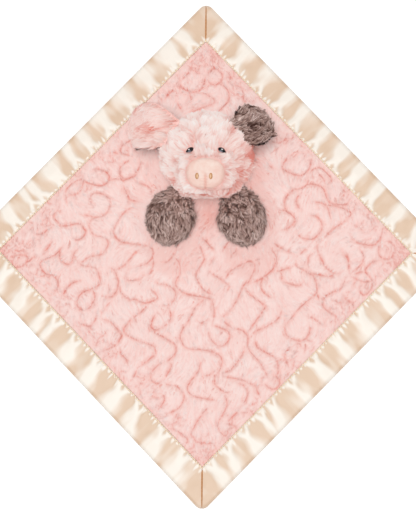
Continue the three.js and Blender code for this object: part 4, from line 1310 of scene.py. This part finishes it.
def arm_pieces(word, look):
    """One arm: a cover open at the shoulder, its stuffing, and clumped curly pile."""
    body = f"arm_{word}"
    turn, share = np.meshgrid(around(72), 1 - (1 - np.linspace(0, 1, 60)) ** 1.4)
    smooth = arm_surface(word, turn, share, 1.0)
    out = unit(smooth - smooth.mean(axis=1, keepdims=True))
    lumps = swing(smooth, 9.0, 81) * 0.9
    outer = smooth + out * (lumps * (share < 0.999) * (share > 0.02))[..., None]
    outer[..., 2] = np.maximum(outer[..., 2], RESTING)
    inner = arm_surface(word, turn, share, COVER_THICKNESS)
    cover = shell(f"{body}_cover_skin", outer, inner, look["cover"], wrap=True)
    dressed(cover, body, [f"{body}_cover"])
    grid = wrapped(outer)
    normals = normals_of(grid)
    normals = normals * np.sign(((grid - grid.mean(axis=1, keepdims=True)) * normals).sum(-1).mean())
    rng = np.random.default_rng(look["seed"])
    weight = lerp(0.08, 1.0, ease((normals[..., 2] + 0.7) / 0.5))
    rows, columns, roots, upward = rooted(grid, normals, look["count"], rng, weight)
    down = unit(sampled(np.gradient(grid, axis=0), rows, columns))
    aside = sampled(np.cos(wrapped(turn)), rows, columns)[:, None]
    swirl = np.stack([swing(roots, 13.0, 82), swing(roots, 13.0, 83), 0 * down[:, 0]], -1)
    down = unit(down + 0.5 * aside * np.cross(down, upward) + 0.7 * swirl)
    # Painted light: the pile is painted paler where it turns away from the top, on the arm's sides and
    # underside
    pile = fur(f"{body}_pile", roots - upward * ARM_ROOT_DEPTH, upward, down, look["pile"], look["hair"],
               look["seed"] + 1, tone=0.8 * (1 - upward[:, 2]), floor=RESTING - 0.1, skyward=1.2)
    dressed(pile, body)
    filled = arm_surface(word, turn, share, COVER_THICKNESS + FILLING_GAP)
    pole = filled[4].mean(axis=0)
    filled = np.concatenate([np.broadcast_to(pole, filled[:1].shape), filled[5:]])
    filled[..., 2] += 0.25 * noise(filled, 5.0, 84) * (filled[..., 2] > RESTING + 4)
    filled[-1] = filled[-1].mean(axis=0)
    filling_piece(body, filled, look["filling"])


def filling_piece(body, grid, material):
    """The stuffing of the head or of an arm."""
    stuffing = ball(f"{body}_filling", grid, material)
    dressed(stuffing, body, [f"{body}_stuffing"])


# Materials

# Pile: its colours at the root, the middle and the tip, the root's darker colour being painted shade
# deep in the pile, and its colours in the gaps and on the crests of locks, reached by random tone and
# by painted shade and painted light
HAIR_COLOURS = {
    "Minky pile": ("#fbd2ca", "#fddcd6", "#feeae6", "#ec9788", "#fff1ed"),
    "Long face pile": ("#e6beb5", "#eacfc8", "#ecdcd7", "#d6897d", "#ede7e4"),
    "Long ear pile": ("#e4b5ab", "#e7c4bc", "#e9d3cd", "#d67e70", "#ece2df"),
    "Curly taupe pile": ("#5b3f38", "#907066", "#c2a096", "#432b25", "#e3c9c1"),
    "Curly arm pile": ("#5b3f38", "#907066", "#c2a096", "#432b25", "#e3c9c1"),
}

# Backing: its colours where it is pale and where it is deep
BACKING_COLOURS = {
    "Plush backing": ("#f7ccc3", "#efb3a8"),
    "Pink ear backing": ("#fdd3cb", "#f6bbb0"),
    "Taupe backing": ("#6d5049", "#4f3731"),
    "Taupe arm backing": ("#6d5049", "#4f3731"),
}


def linear(colour):
    """An sRGB hex colour as linear red, green, blue and alpha."""
    parts = np.array([int(colour[k : k + 2], 16) for k in (1, 3, 5)]) / 255
    low = parts / 12.92
    high = ((parts + 0.055) / 1.055) ** 2.4
    return (*np.where(parts <= 0.04045, low, high).tolist(), 1.0)


def add_node(tree, kind, inputs=None, **settings):
    """Add a node, set its options, and fill its inputs with values or with other nodes' outputs."""
    made = tree.nodes.new(kind)
    for key, value in settings.items():
        setattr(made, key, value)
    for key, value in (inputs or {}).items():
        if isinstance(value, bpy.types.NodeSocket):
            tree.links.new(value, made.inputs[key])
        else:
            made.inputs[key].default_value = value
    return made


def new_material(name, roughness, gloss, sheen=0.0, sheen_roughness=0.5):
    """A material with a Principled shader; returns it and its node tree."""
    material = bpy.data.materials.new(name)
    material.use_nodes = True
    tree = material.node_tree
    tree.nodes.clear()
    shader = add_node(tree, "ShaderNodeBsdfPrincipled", {
        "Roughness": roughness, "Specular IOR Level": gloss, "Sheen Weight": sheen,
        "Sheen Roughness": sheen_roughness,
    })
    add_node(tree, "ShaderNodeOutputMaterial", {"Surface": shader.outputs["BSDF"]})
    return material, tree


def painted(made, colour, height=None, distance_mm=0.0, strength=1.0):
    """Give a material its colour and, from a height output, its relief; returns the material."""
    material, tree = made
    shader = tree.nodes["Principled BSDF"]
    tree.links.new(colour, shader.inputs["Base Color"])
    if height:
        bump = add_node(tree, "ShaderNodeBump", {
            "Height": height, "Distance": distance_mm * MM, "Strength": strength})
        tree.links.new(bump.outputs[0], shader.inputs["Normal"])
    return material


def shaded(tree, share, low, high, start=0.0, end=1.0):
    """One colour going over into another while a share passes from a start to an end. The share is an
    output, or the name of one of the piece's attributes."""
    if isinstance(share, str):
        share = add_node(tree, "ShaderNodeAttribute", attribute_name=share).outputs["Fac"]
    held = add_node(tree, "ShaderNodeMapRange", {"Value": share, "From Min": start, "From Max": end})
    inputs = {0: held.outputs[0], 6: low, 7: high}
    return add_node(tree, "ShaderNodeMix", inputs, data_type="RGBA").outputs[2]


def mottled(tree, scale_mm, low, high, start=0.3, end=0.7):
    """A colour that drifts between two, in patches of a given size."""
    return shaded(tree, speckle(tree, scale_mm), linear(low), linear(high), start, end)


def speckle(tree, scale_mm, detail=2.0):
    """Noise with grains of a given size in millimetres, on the object's own coordinates."""
    place = add_node(tree, "ShaderNodeTexCoord").outputs["Object"]
    grain = add_node(tree, "ShaderNodeTexNoise", {
        "Vector": place, "Detail": detail, "Scale": 1 / (scale_mm * MM)})
    return grain.outputs["Fac"]


def hair_material(name):
    """Pile fibre: painted shade where blades are rooted, paler at the tips, each lock a little off, and
    painted shade and light from the tone.
    """
    root, middle, tip, dark, light = (linear(colour) for colour in HAIR_COLOURS[name])
    material, tree = new_material(name, 0.95, 0.12, 0.08, 0.6)
    tree.nodes["Principled BSDF"].inputs["Sheen Tint"].default_value = tip
    # Painted shade: darker towards the roots, deep in the pile
    colour = shaded(tree, "tip", root, middle, 0.0, 0.45)
    colour = shaded(tree, "tip", colour, tip, 0.35, 1.0)
    # The tone: random strays, and painted shade and painted light
    colour = shaded(tree, "tone", colour, dark, 0.0, -2.4)
    return painted((material, tree), shaded(tree, "tone", colour, light, 0.2, 2.6))


def skin_material(name):
    """The knit backing between the pile: matt, mottled at 4 mm, and rough at a millimetre."""
    base, deep = BACKING_COLOURS[name]
    material, tree = new_material(name, 0.95, 0.2, 0.2, 0.7)
    colour = mottled(tree, 4.0, deep, base, 0.35, 0.65)
    return painted((material, tree), colour, speckle(tree, 0.9, 3.0), 0.8)


def plush_material(look):
    """Embossed minky plush, mottled and streaked, with painted shade: warmer beside the grooves and in
    the painted shadow of the head, the ears and the arms, and salmon in the grooves.
    """
    material, tree = new_material("Embossed minky plush", 0.92, 0.2, 0.3, 0.6)
    colour = mottled(tree, 14.0, "#fbe0da", "#f9d5ce", 0.3, 0.75)
    colour = shaded(tree, "stroke", colour, linear("#f7cec7"), 0.4, -2.4)
    # Painted shade beside the grooves and in the painted shadow of the head, the ears and the arms
    colour = shaded(tree, "hollow", colour, linear("#f2b9af"), 0.1, 1.1)
    # Painted shade in the grooves
    colour = shaded(tree, "groove", colour, tuple(look.groove_shade_colour), 0.15, 0.95)
    return painted((material, tree), colour, speckle(tree, 0.8, 3.0), 0.5)


def satin_material(look):
    """Acetate satin: a smooth float weave, with a painted highlight on its pleats and gathers and
    painted tan shade in the valleys between them.
    """
    material, tree = new_material("Acetate satin", 0.42, 0.3, 0.08, 0.4)
    colour = shaded(tree, "painted_sheen", linear("#dcbfa5"), tuple(look.satin_highlight_colour), 0.05, 0.8)
    return painted((material, tree), colour, speckle(tree, 0.5, 1.0), 0.05, 0.4)


def lining_material():
    """Brushed knit lining: matt, with the fine ribs of a knit 1.2 mm apart."""
    material, tree = new_material("Brushed knit lining", 0.95, 0.2, 0.3, 0.6)
    place = add_node(tree, "ShaderNodeTexCoord").outputs["Object"]
    ribs = add_node(tree, "ShaderNodeTexWave", {
        "Vector": place, "Scale": 1 / (1.2 * MM) / 20, "Distortion": 1.5})
    colour = mottled(tree, 6.0, "#f0c4be", "#f6d4ce")
    return painted((material, tree), colour, ribs.outputs["Fac"], 0.25)


def velour_material():
    """Short velour on the snout: even and peachy, with painted shade along its seam, at its rim, towards
    its sides and towards its bottom.
    """
    material, tree = new_material("Short velour", 0.9, 0.2, 0.35, 0.5)
    soft = mottled(tree, 5.0, "#f8e2d7", "#f3d1c4")
    # Painted shade where the snout's shade share says so
    colour = shaded(tree, "shade", soft, linear("#e3a191"))
    return painted((material, tree), colour, speckle(tree, 0.45), 0.2)


def painted_thread(name, colours, roughness):
    """Satin-stitched thread: each colour covers what is under it where its own share says so."""
    material, tree = new_material(name, roughness, 0.4)
    colour = linear(colours[0])
    for index, over in enumerate(colours[1:]):
        colour = shaded(tree, f"paint_{index}", colour, linear(over))
    return painted((material, tree), colour, speckle(tree, 0.35, 1.0), 0.08)


def thread_material(name, colour, dark):
    """Sewing thread: twisted polyester with a faint gloss."""
    material, tree = new_material(name, 0.55, 0.45)
    tone = shaded(tree, "tone", linear(dark), linear(colour), -1.0, 1.0)
    return painted((material, tree), tone, speckle(tree, 0.4, 1.0), 0.08)


def filling_material():
    """Polyester fibre filling: white, matt and tangled at a millimetre."""
    material, tree = new_material("Polyester fibre filling", 1.0, 0.5, 0.2)
    tangle = speckle(tree, 1.4, 4.0)
    colour = shaded(tree, tangle, linear("#eae6df"), linear("#fbf9f6"))
    return painted((material, tree), colour, tangle, 0.8)


def dressed(piece, body, nodes=()):
    """Ride on a body and stand for CAD nodes, hiding them."""
    if nodes:
        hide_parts(*nodes)
    if body:
        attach(piece, body)
    return piece


# Kinds of pile: lengths in millimetres, angles in radians, locks counted in blades. The two painted
# shadings set the painted shade at the edges of locks and strands and the painted light in their middles
BLANKET_PILE = dict(
    length=3.9, width=0.5, lift=0.18, rings=1, taper=1.0, bow=0.3, waves=0.5, curl=0.0, stretch=2.2,
    per_lock=60, lock_turn=0.2, pull=0.0, bulge=0.1, lock_tone=0.4, lock_painted_shading=0.3,
    per_strand=8, strand_turn=0.25, strand_pull=0.45, strand_bulge=0.2, strand_tone=0.65, strand_painted_shading=0.6,
    soft=0.9)
FACE_PILE = dict(
    length=9.5, width=0.6, lift=0.42, rings=2, taper=0.6, bow=0.55, waves=0.5, curl=0.45, stretch=1.4,
    per_lock=200, lock_turn=0.32, pull=0.32, bulge=0.24, lock_tone=0.35, lock_painted_shading=1.6,
    per_strand=12, strand_turn=0.16, strand_pull=0.45, strand_bulge=0.12, strand_tone=0.4, strand_painted_shading=0.7,
    soft=0.9)
EAR_PILE = dict(
    length=11.0, width=0.55, lift=0.24, rings=2, taper=0.7, bow=0.4, waves=0.5, curl=0.35, stretch=2.0,
    per_lock=90, lock_turn=0.22, pull=0.3, bulge=0.12, lock_tone=0.3, lock_painted_shading=1.1,
    per_strand=10, strand_turn=0.26, strand_pull=0.45, strand_bulge=0.12, strand_tone=0.35, strand_painted_shading=0.7,
    soft=0.9)
CURLY_PILE = dict(
    length=8.6, width=0.5, lift=0.6, rings=3, taper=0.5, bow=0.5, waves=0.6, curl=0.45, stretch=1.7,
    per_lock=70, lock_turn=0.4, pull=0.1, bulge=0.15, lock_tone=0.35, lock_painted_shading=0.7,
    per_strand=14, strand_turn=0.35, strand_pull=0.66, strand_bulge=0.4, strand_tone=0.7, strand_painted_shading=2.4,
    soft=0.7)


class LoveySettings(bpy.types.PropertyGroup):
    """Sizes and colours that can be changed before the pieces are made."""

    groove_depth: FloatProperty(
        name="Groove Depth", description="How deep the embossed lines are pressed",
        default=2.6 * MM, unit="LENGTH")
    pile_length: FloatProperty(
        name="Blanket Pile", description="Length of the blanket's combed pile",
        default=3.8 * MM, unit="LENGTH")
    face_pile_length: FloatProperty(
        name="Face Pile", description="Length of the pile on the head",
        default=9.5 * MM, unit="LENGTH")
    curl_length: FloatProperty(
        name="Curly Pile", description="Length of the taupe pile before it curls",
        default=8.6 * MM, unit="LENGTH")
    pleat_rise: FloatProperty(
        name="Pleat Rise", description="How high the satin's pleats stand",
        default=0.8 * MM, unit="LENGTH")
    # Painted shade at the bottom of the embossed lines
    groove_shade_colour: FloatVectorProperty(
        name="Groove Colour", description="Colour at the bottom of the embossed lines",
        subtype="COLOR", size=4, default=linear("#dc8478"))
    # Painted highlight on the crests of the satin's pleats
    satin_highlight_colour: FloatVectorProperty(
        name="Satin Colour", description="Colour of the satin on the crests of its pleats",
        subtype="COLOR", size=4, default=linear("#f4ebe0"))


class LOVEY_OT_stage(bpy.types.Operator):
    """Add the floor, the soft light and the camera."""

    bl_idname = "lovey.stage"
    bl_label = "Stage and Camera"

    def execute(self, context):
        make_floor()
        make_light(context)
        make_camera(context)
        return {"FINISHED"}


def make_floor():
    """A pale table under the blanket, drawn white where the camera or a gloss sees it unshaded."""
    bpy.ops.mesh.primitive_plane_add(size=4.0, location=(0, 0, -0.0002))
    floor = bpy.context.object
    floor.name = "floor"
    material, tree = new_material("Matt white table", 1.0, 0.0)
    seen = add_node(tree, "ShaderNodeLightPath").outputs
    either = seen["Is Camera Ray"]
    for other in ("Is Glossy Ray", "Is Transmission Ray"):
        inputs = {0: either, 1: seen[other]}
        either = add_node(tree, "ShaderNodeMath", inputs, operation="MAXIMUM").outputs[0]
    glow = add_node(tree, "ShaderNodeMath", {0: either, 1: FLOOR_GLOW}, operation="MULTIPLY").outputs[0]
    shader = tree.nodes["Principled BSDF"].inputs
    shader["Base Color"].default_value = linear("#f4f4f5")
    shader["Emission Color"].default_value = (1, 1, 1, 1)
    tree.links.new(glow, shader["Emission Strength"])
    floor.data.materials.append(material)


def make_light(context):
    """Even white surroundings, and one soft lamp high above the blanket."""
    world = bpy.data.worlds.new("Soft surroundings")
    world.use_nodes = True
    background = world.node_tree.nodes["Background"].inputs
    background["Color"].default_value = (1, 1, 1, 1)
    background["Strength"].default_value = WORLD_STRENGTH
    context.scene.world = world
    lamp = bpy.data.lights.new("Window", "SUN")
    lamp.energy = LAMP_STRENGTH
    lamp.angle = LAMP_ANGLE
    window = bpy.data.objects.new("Window", lamp)
    window.rotation_euler = LAMP_TURN
    context.scene.collection.objects.link(window)


# The light: strengths, the lamp's apparent size, its turn from straight above, and the floor's glow
WORLD_STRENGTH = 0.33
LAMP_STRENGTH = 2.26
LAMP_ANGLE = np.radians(26)
LAMP_TURN = (np.radians(4), np.radians(-1), 0)
FLOOR_GLOW = 0.16

# The view: what its middle looks at, in millimetres, the angles of its axis, and its focal length
# in pixels of an image 520 pixels high
VIEW_TARGET = (3.68, -5.65, 0.0)
VIEW_DISTANCE = 1000.0
VIEW_ELEVATION = np.radians(86.256)
VIEW_BEARING = np.radians(21.76)
VIEW_ROLL = np.radians(-21.326)
FOCAL_PIXELS = 1076.0
IMAGE_HEIGHT_PIXELS = 520.0
SENSOR_MM = 36.0


def make_camera(context):
    """A camera almost straight above, leaning a little from the blanket's bottom corner."""
    lens = bpy.data.cameras.new("Camera")
    lens.sensor_width = SENSOR_MM
    lens.lens = FOCAL_PIXELS * SENSOR_MM / IMAGE_HEIGHT_PIXELS
    camera = bpy.data.objects.new("Camera", lens)
    flat = np.cos(VIEW_ELEVATION)
    back = Vector((np.sin(VIEW_BEARING) * flat, -np.cos(VIEW_BEARING) * flat, np.sin(VIEW_ELEVATION)))
    level = Vector((np.cos(VIEW_BEARING), np.sin(VIEW_BEARING), 0))
    right = level * np.cos(VIEW_ROLL) + back.cross(level) * np.sin(VIEW_ROLL)
    turned = Matrix((right, back.cross(right), back)).transposed().to_4x4()
    place = (Vector(VIEW_TARGET) + back * VIEW_DISTANCE) * MM
    camera.matrix_world = Matrix.Translation(place) @ turned
    context.scene.collection.objects.link(camera)
    context.scene.camera = camera
    context.scene.view_settings.view_transform = "Standard"


class LOVEY_OT_blanket(bpy.types.Operator):
    """Make the embossed plush panel, its pile and the back lining."""

    bl_idname = "lovey.blanket"
    bl_label = "Blanket"

    def execute(self, context):
        look = context.scene.lovey
        surface = plush_surface(look.groove_depth / MM)
        plush = plush_piece(surface, plush_material(look))
        dressed(plush, "blanket", ["front_plush_panel"])
        pile = dict(BLANKET_PILE, length=look.pile_length / MM)
        tufts = plush_pile(surface, pile, hair_material("Minky pile"), count=49000)
        dressed(tufts, "blanket")
        lining = shell("back_lining", lining_grid(LINING_THICKNESS), lining_grid(0.0), lining_material())
        dressed(lining, "blanket", ["back_lining_panel"])
        return {"FINISHED"}


# Each strip's width, and where a place on it lies on the blanket, by its distances along the strip
# and in from the edge and by its level
BINDINGS = {
    "upper_right": (UPPER_WIDTH, lambda along, inward, z: on_blanket(SPAN - inward, along, z)),
    "upper_left": (UPPER_WIDTH, lambda along, inward, z: on_blanket(along, SPAN - inward, z)),
    "lower_right": (LOWER_WIDTH, lambda along, inward, z: on_blanket(along, inward, z)),
    "lower_left": (LOWER_WIDTH, lambda along, inward, z: on_blanket(inward, along, z)),
}

# Zigzag stitches: their pitch, and the half width, half length and half height of one
STITCH_PITCH = 1.4
STITCH_HALF = (0.5, 1.2, 0.2)
STITCH_LEAN = 0.75


class LOVEY_OT_binding(bpy.types.Operator):
    """Make the four pleated satin strips, their zigzag stitches and the mitre seams."""

    bl_idname = "lovey.binding"
    bl_label = "Satin Binding"

    def execute(self, context):
        look = context.scene.lovey
        satin = satin_material(look)
        stitch = thread_material("Zigzag thread", "#fff3de", "#ffe3bd")
        for seed, (word, (width, locate)) in enumerate(BINDINGS.items()):
            grid, painted_sheen = binding_grid(word, width, locate, look.pleat_rise / MM, 100 + 10 * seed)
            inner = inner_skin(grid, SATIN_THICKNESS * 0.6)
            strip = shell(f"satin_{word}", grid, inner, satin, attributes={"painted_sheen": painted_sheen})
            dressed(strip, "blanket", [f"binding_{word}"])
            beads = dressed(zigzag(word, grid, stitch, seed), "blanket")
        # The mitre thread's darker tan is partly the seam's own thread and partly painted shade of the
        # gap between the strips
        mitres(thread_material("Mitre thread", "#c98f5e", "#b97c48"))
        return {"FINISHED"}


def bead_shape(sides):
    """A small oval bead: three rings of points between two ends, along its y axis."""
    turn = around(sides)
    rings = [np.stack([r * np.cos(turn), np.full(sides, y), r * np.sin(turn)], -1)
             for y, r in ((-0.55, 0.8), (0.0, 1.0), (0.55, 0.8))]
    points = np.concatenate([[[0, -1, 0]], *rings, [[0, 1, 0]]])
    index = wrapped(1 + np.arange(3 * sides).reshape(3, sides))
    low = np.stack([0 * turn, index[0, 1:], index[0, :-1]], -1).astype(int)
    high = np.stack([0 * turn + len(points) - 1, index[2, :-1], index[2, 1:]], -1).astype(int)
    return points, [grid_quads(index), np.concatenate([low, high])]


def zigzag(word, grid, material, seed):
    """Zigzag stitches over the binding's inner edge: oval beads leaning one way, then the other."""
    rng = np.random.default_rng(300 + seed)
    edge = grid[0]
    count = int(np.linalg.norm((edge[-1] - edge[0])[:2]) / STITCH_PITCH)
    share = (np.arange(count) + 0.5) / count * (len(edge) - 1)
    along = unit((edge[-1] - edge[0]) * [1, 1, 0])
    inward = unit((edge.mean(0) - grid[12].mean(0)) * [1, 1, 0])
    odd = np.arange(count) % 2
    axis = unit(inward + along * np.where(odd, STITCH_LEAN, -STITCH_LEAN)[:, None])
    up = np.broadcast_to([0.0, 0.0, 1.0], axis.shape)
    axes = np.stack([np.cross(axis, up), axis, up], 1) * np.array(STITCH_HALF)[:, None]
    middle = sampled(grid, np.full(count, 0.4), share) + inward * 0.6 + up * 0.45
    tone = np.where(odd, 0.8, -0.5) + rng.normal(0, 0.3, count)
    beads, faces = bead_shape(sides=6)
    return stamped(f"zigzag_{word}", beads, faces, middle, axes, material, {"tone": tone})


def mitres(material):
    """The four mitre seams: a darker tan thread ridge from each inner corner, tapering to the tip; its
    dark tan is partly the seam's thread and partly painted shade of the gap between the strips.
    """
    low, high = LOWER_WIDTH, SPAN - UPPER_WIDTH
    corners = {
        "top": ((high, high), (SPAN, SPAN)), "bottom": ((low, low), (0, 0)),
        "left": ((low, high), (0, SPAN)), "right": ((high, low), (SPAN, 0)),
    }
    share, turn = np.meshgrid(np.linspace(0, 1, 24), around(12), indexing="ij")
    taper = np.sqrt(np.clip(np.minimum(share * 9, (1 - share) * 2.2), 0, 1))
    wide, tall = 0.75 * taper, 0.45 * taper
    for word, (inner, outer) in corners.items():
        start = on_blanket(*inner, BINDING_TOP)
        end = lerp(start, on_blanket(*outer, BINDING_TOP), 0.9)
        aside = unit(np.cross(end - start, [0.0, 0.0, 1.0]))
        grid = lerp(start, end, share[..., None]) + aside * (wide * np.cos(turn))[..., None]
        grid[..., 2] += tall * np.sin(turn) + 0.12
        seam = ball(f"mitre_{word}", grid, material, {"tone": 0.8 * np.cos(share * 60)})
        dressed(seam, "blanket")


class LOVEY_OT_head(bpy.types.Operator):
    """Make the head: covers with pile, snout, filling and the neck."""

    bl_idname = "lovey.head"
    bl_label = "Head"

    def execute(self, context):
        look = dict(cover=skin_material("Plush backing"), hair=hair_material("Long face pile"),
                    pile=dict(FACE_PILE, length=context.scene.lovey.face_pile_length / MM))
        right = np.linspace(-np.pi / 2, np.pi / 2, 70)
        rows = 1 + np.linspace(0.0001, 1, 56) ** 1.3
        face_pieces("right", right, rows, dict(look, count=18500, seed=400))
        face_pieces("left", right + np.pi, rows, dict(look, count=18500, seed=410))
        face_pieces("back", around(96, -np.pi / 2), np.linspace(2.0001, 3, 24),
                    dict(look, count=4000, seed=420))
        snout_piece()
        turn, row = np.meshgrid(around(48, -np.pi / 2), np.linspace(0, 3, 40))
        stuffed = on_head(head_direction(turn, row), COVER_THICKNESS + FILLING_GAP)
        filling_piece("head", stuffed, filling_material())
        neck_piece(look["cover"])
        return {"FINISHED"}


# The snout's relief: depth and half width of its seam and of the puckers along it, the drawn-in rim
# and where it starts, soft lumps, and the swell round each nostril
SEAM_RELIEF = (0.7, 1.3)
PUCKER_RELIEF = (0.25, 4.0)
PUCKER_TURN = 2.6
RIM_DEPTH = 0.6
RIM_START = 0.82
SNOUT_LUMP = 0.35
SWELL_RISE = 0.45
SWELL_HALF = (2.6, 3.8)


def snout_piece():
    """The velour snout: a blunt disc, puckered along its middle seam, drawn in at its rim."""
    turn, row = np.meshgrid(around(120, -np.pi / 2), 1 - np.linspace(1, 0, 40) ** 1.3)
    direction = head_direction(turn, row)
    smooth = on_head(direction, 0.0)
    up = (smooth - MUZZLE) @ FACE_UP
    across = (smooth - MUZZLE) @ FACE_ACROSS
    below = np.clip((2.0 - up) / 4.0, 0, 1)
    seam = bell(across, SEAM_RELIEF[1]) * below
    wave = np.sin(up * PUCKER_TURN + 0.8 * np.sign(across))
    pucker = PUCKER_RELIEF[0] * bell(across, PUCKER_RELIEF[1]) * below * wave
    rim = ease((row - RIM_START) / (1 - RIM_START))
    lump = SNOUT_LUMP * swing(smooth, 8.0, 91)
    places = [side * NOSTRIL_SPACING / 2 - NOSTRIL_ASIDE for _, side in EYES]
    swell = sum(bell(across - place, SWELL_HALF[0]) for place in places)
    swell = swell * bell(up + NOSTRIL_DROP, SWELL_HALF[1])
    out = lump - SEAM_RELIEF[0] * seam + pucker - RIM_DEPTH * rim + SWELL_RISE * swell
    outer = on_head(direction, 0.0, out * (row > 0.001))
    inner = on_head(direction, COVER_THICKNESS)
    # Painted shade: along the seam, at the drawn-in rim, towards the sides and towards the bottom
    shade = 0.5 * seam + 0.3 * row**8 + 0.15 * np.abs(across / 18) + 0.2 * np.clip(-up / 14, 0, 1)
    snout = shell("snout_velour", outer, inner, velour_material(), wrap=True,
                  attributes={"shade": np.clip(shade, 0, 1)})
    dressed(snout, "head", ["snout_panel"])


def neck_piece(material):
    """The sleeve from the blanket to the head: an oval ring carried up to the skull's underside."""
    turn, share = np.meshgrid(around(48), np.linspace(0, 1, 12))
    skins = []
    for inset in (0.0, NECK_WALL):
        x = HEAD_X + (NECK_HALF_WIDTH - inset) * np.cos(turn)
        y = NECK_Y + (NECK_HALF_DEPTH - inset) * np.sin(turn)
        rest = 1 - ((x - HEAD_X) / HEAD_HALF[0]) ** 2 - ((y - HEAD_Y) / HEAD_HALF[1]) ** 2
        top = SKULL[2] - HEAD_HALF[2] * np.sqrt(rest) - 2 * SEAM_GAP
        skins.append(np.stack([x, y, lerp(RESTING, top, share)], -1))
    neck = dressed(shell("neck_sleeve", *skins, material, wrap=True), None, ["neck_tube"])
    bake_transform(neck)


class LOVEY_OT_embroidery(bpy.types.Operator):
    """Stitch the eyes and the nostrils."""

    bl_idname = "lovey.embroidery"
    bl_label = "Eyes and Nostrils"

    def execute(self, context):
        thread = painted_thread("Eye thread", ("#0b0b0f", "#8a8c96", "#0d0e13", "#ffffff"), 0.6)
        for word, side in EYES:
            lean = side * np.sin(EYE_SLANT)
            along = np.array([np.cos(EYE_SLANT), -lean, 0])
            across = np.array([lean, np.cos(EYE_SLANT), 0])
            eye = embroidered(f"eye_{word}_thread", eye_middle(word), along, across, almond, eye_paint,
                              thread)
            dressed(eye, "head", [f"eye_{word}"])
        thread = painted_thread("Nostril thread", ("#c88f60", "#e9c09a"), 0.6)
        snout = MUZZLE + FACE_OUT * MUZZLE_REACH - FACE_UP * NOSTRIL_DROP
        for word, side in EYES:
            middle = snout + FACE_ACROSS * (side * NOSTRIL_SPACING / 2 - NOSTRIL_ASIDE)
            nostril = embroidered(f"nostril_{word}_thread", middle, FACE_ACROSS, FACE_UP, oval,
                                  nostril_paint(side), thread)
            dressed(nostril, "head", [f"nostril_{word}"])
        return {"FINISHED"}


def almond(turn):
    """An oval with pinched ends."""
    pinch = 1 - 0.25 * np.cos(turn) ** 2
    return EYE_HALF_LENGTH * np.cos(turn), EYE_HALF_WIDTH * np.sin(turn) * pinch


def oval(turn):
    return NOSTRIL_HALF_WIDTH * np.cos(turn), NOSTRIL_HALF_HEIGHT * np.sin(turn)


# Painted spots: the middle of each, its radius and the width of its soft rim
PUPIL = ((0.3, -0.3), 0.9, 0.3)
GLINT = ((-0.35, 0.45), 0.8, 0.25)
NOSTRIL_SPOT = (0.35, 0.95, 0.5)


def spot(across, along, middle, radius, rim):
    """1 inside a round spot, easing to 0 over its rim."""
    return ease((radius - np.hypot(across - middle[0], along - middle[1])) / rim)


def eye_paint(across, along):
    """A grey-blue lower half, a dark pupil in it, and a white glint above the middle."""
    grey = 0.75 * ease((-0.9 - along) / 0.6) * ease((1.7 - np.abs(across + 0.7)) / 0.7)
    dark = spot(across, along, *PUPIL)
    return {"paint_0": grey, "paint_1": dark, "paint_2": spot(across, along, *GLINT)}


def nostril_paint(side):
    def paint(across, along):
        """A paler middle, open towards the snout's seam."""
        aside, radius, rim = NOSTRIL_SPOT
        return {"paint_0": spot(across, along / 2.4, (-aside * side, 0), radius, rim)}
    return paint


class LOVEY_OT_ears(bpy.types.Operator):
    """Make the pink ear and the taupe ear."""

    bl_idname = "lovey.ears"
    bl_label = "Ears"

    def execute(self, context):
        pink = dict(cover=skin_material("Pink ear backing"), hair=hair_material("Long ear pile"),
                    pile=EAR_PILE, count=7000, seed=500, fan=0.6, comb=(-0.25, -0.45, 0))
        ear_pieces("left", left_ear_folds, pink, opaque=False)
        taupe = dict(cover=skin_material("Taupe backing"), hair=hair_material("Curly taupe pile"),
                     pile=dict(CURLY_PILE, length=context.scene.lovey.curl_length / MM),
                     count=6500, seed=520, fan=0.5, comb=(0, 0, 0))
        ear_pieces("right", right_ear_folds, taupe, opaque=True)
        return {"FINISHED"}


class LOVEY_OT_arms(bpy.types.Operator):
    """Make both taupe arms."""

    bl_idname = "lovey.arms"
    bl_label = "Arms"

    def execute(self, context):
        look = dict(cover=skin_material("Taupe arm backing"), hair=hair_material("Curly arm pile"),
                    filling=filling_material(), count=12000,
                    pile=dict(CURLY_PILE, length=context.scene.lovey.curl_length / MM))
        arm_pieces("left", dict(look, seed=600))
        arm_pieces("right", dict(look, seed=620))
        return {"FINISHED"}


class LOVEY_PT_panel(bpy.types.Panel):
    """Lists the steps that make the comfort blanket, in order."""

    bl_idname = "LOVEY_PT_panel"
    bl_label = "Comfort Blanket"
    bl_space_type = "VIEW_3D"
    bl_region_type = "UI"
    bl_category = "Lovey"

    def draw(self, context):
        layout = self.layout
        for key in LoveySettings.__annotations__:
            layout.prop(context.scene.lovey, key)
        for step in STEPS:
            layout.operator(step.bl_idname)


STEPS = (LOVEY_OT_stage, LOVEY_OT_blanket, LOVEY_OT_binding, LOVEY_OT_head, LOVEY_OT_embroidery,
         LOVEY_OT_ears, LOVEY_OT_arms)
CLASSES = (LoveySettings, *STEPS, LOVEY_PT_panel)


def register():
    for each in CLASSES:
        bpy.utils.register_class(each)
    bpy.types.Scene.lovey = PointerProperty(type=LoveySettings)


def unregister():
    del bpy.types.Scene.lovey
    for each in reversed(CLASSES):
        bpy.utils.unregister_class(each)


def main():
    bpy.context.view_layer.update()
    register()
    bpy.ops.lovey.stage()
    bpy.ops.lovey.blanket()
    bpy.ops.lovey.binding()
    bpy.ops.lovey.head()
    bpy.ops.lovey.embroidery()
    bpy.ops.lovey.ears()
    bpy.ops.lovey.arms()


if __name__ == "__main__":
    main()
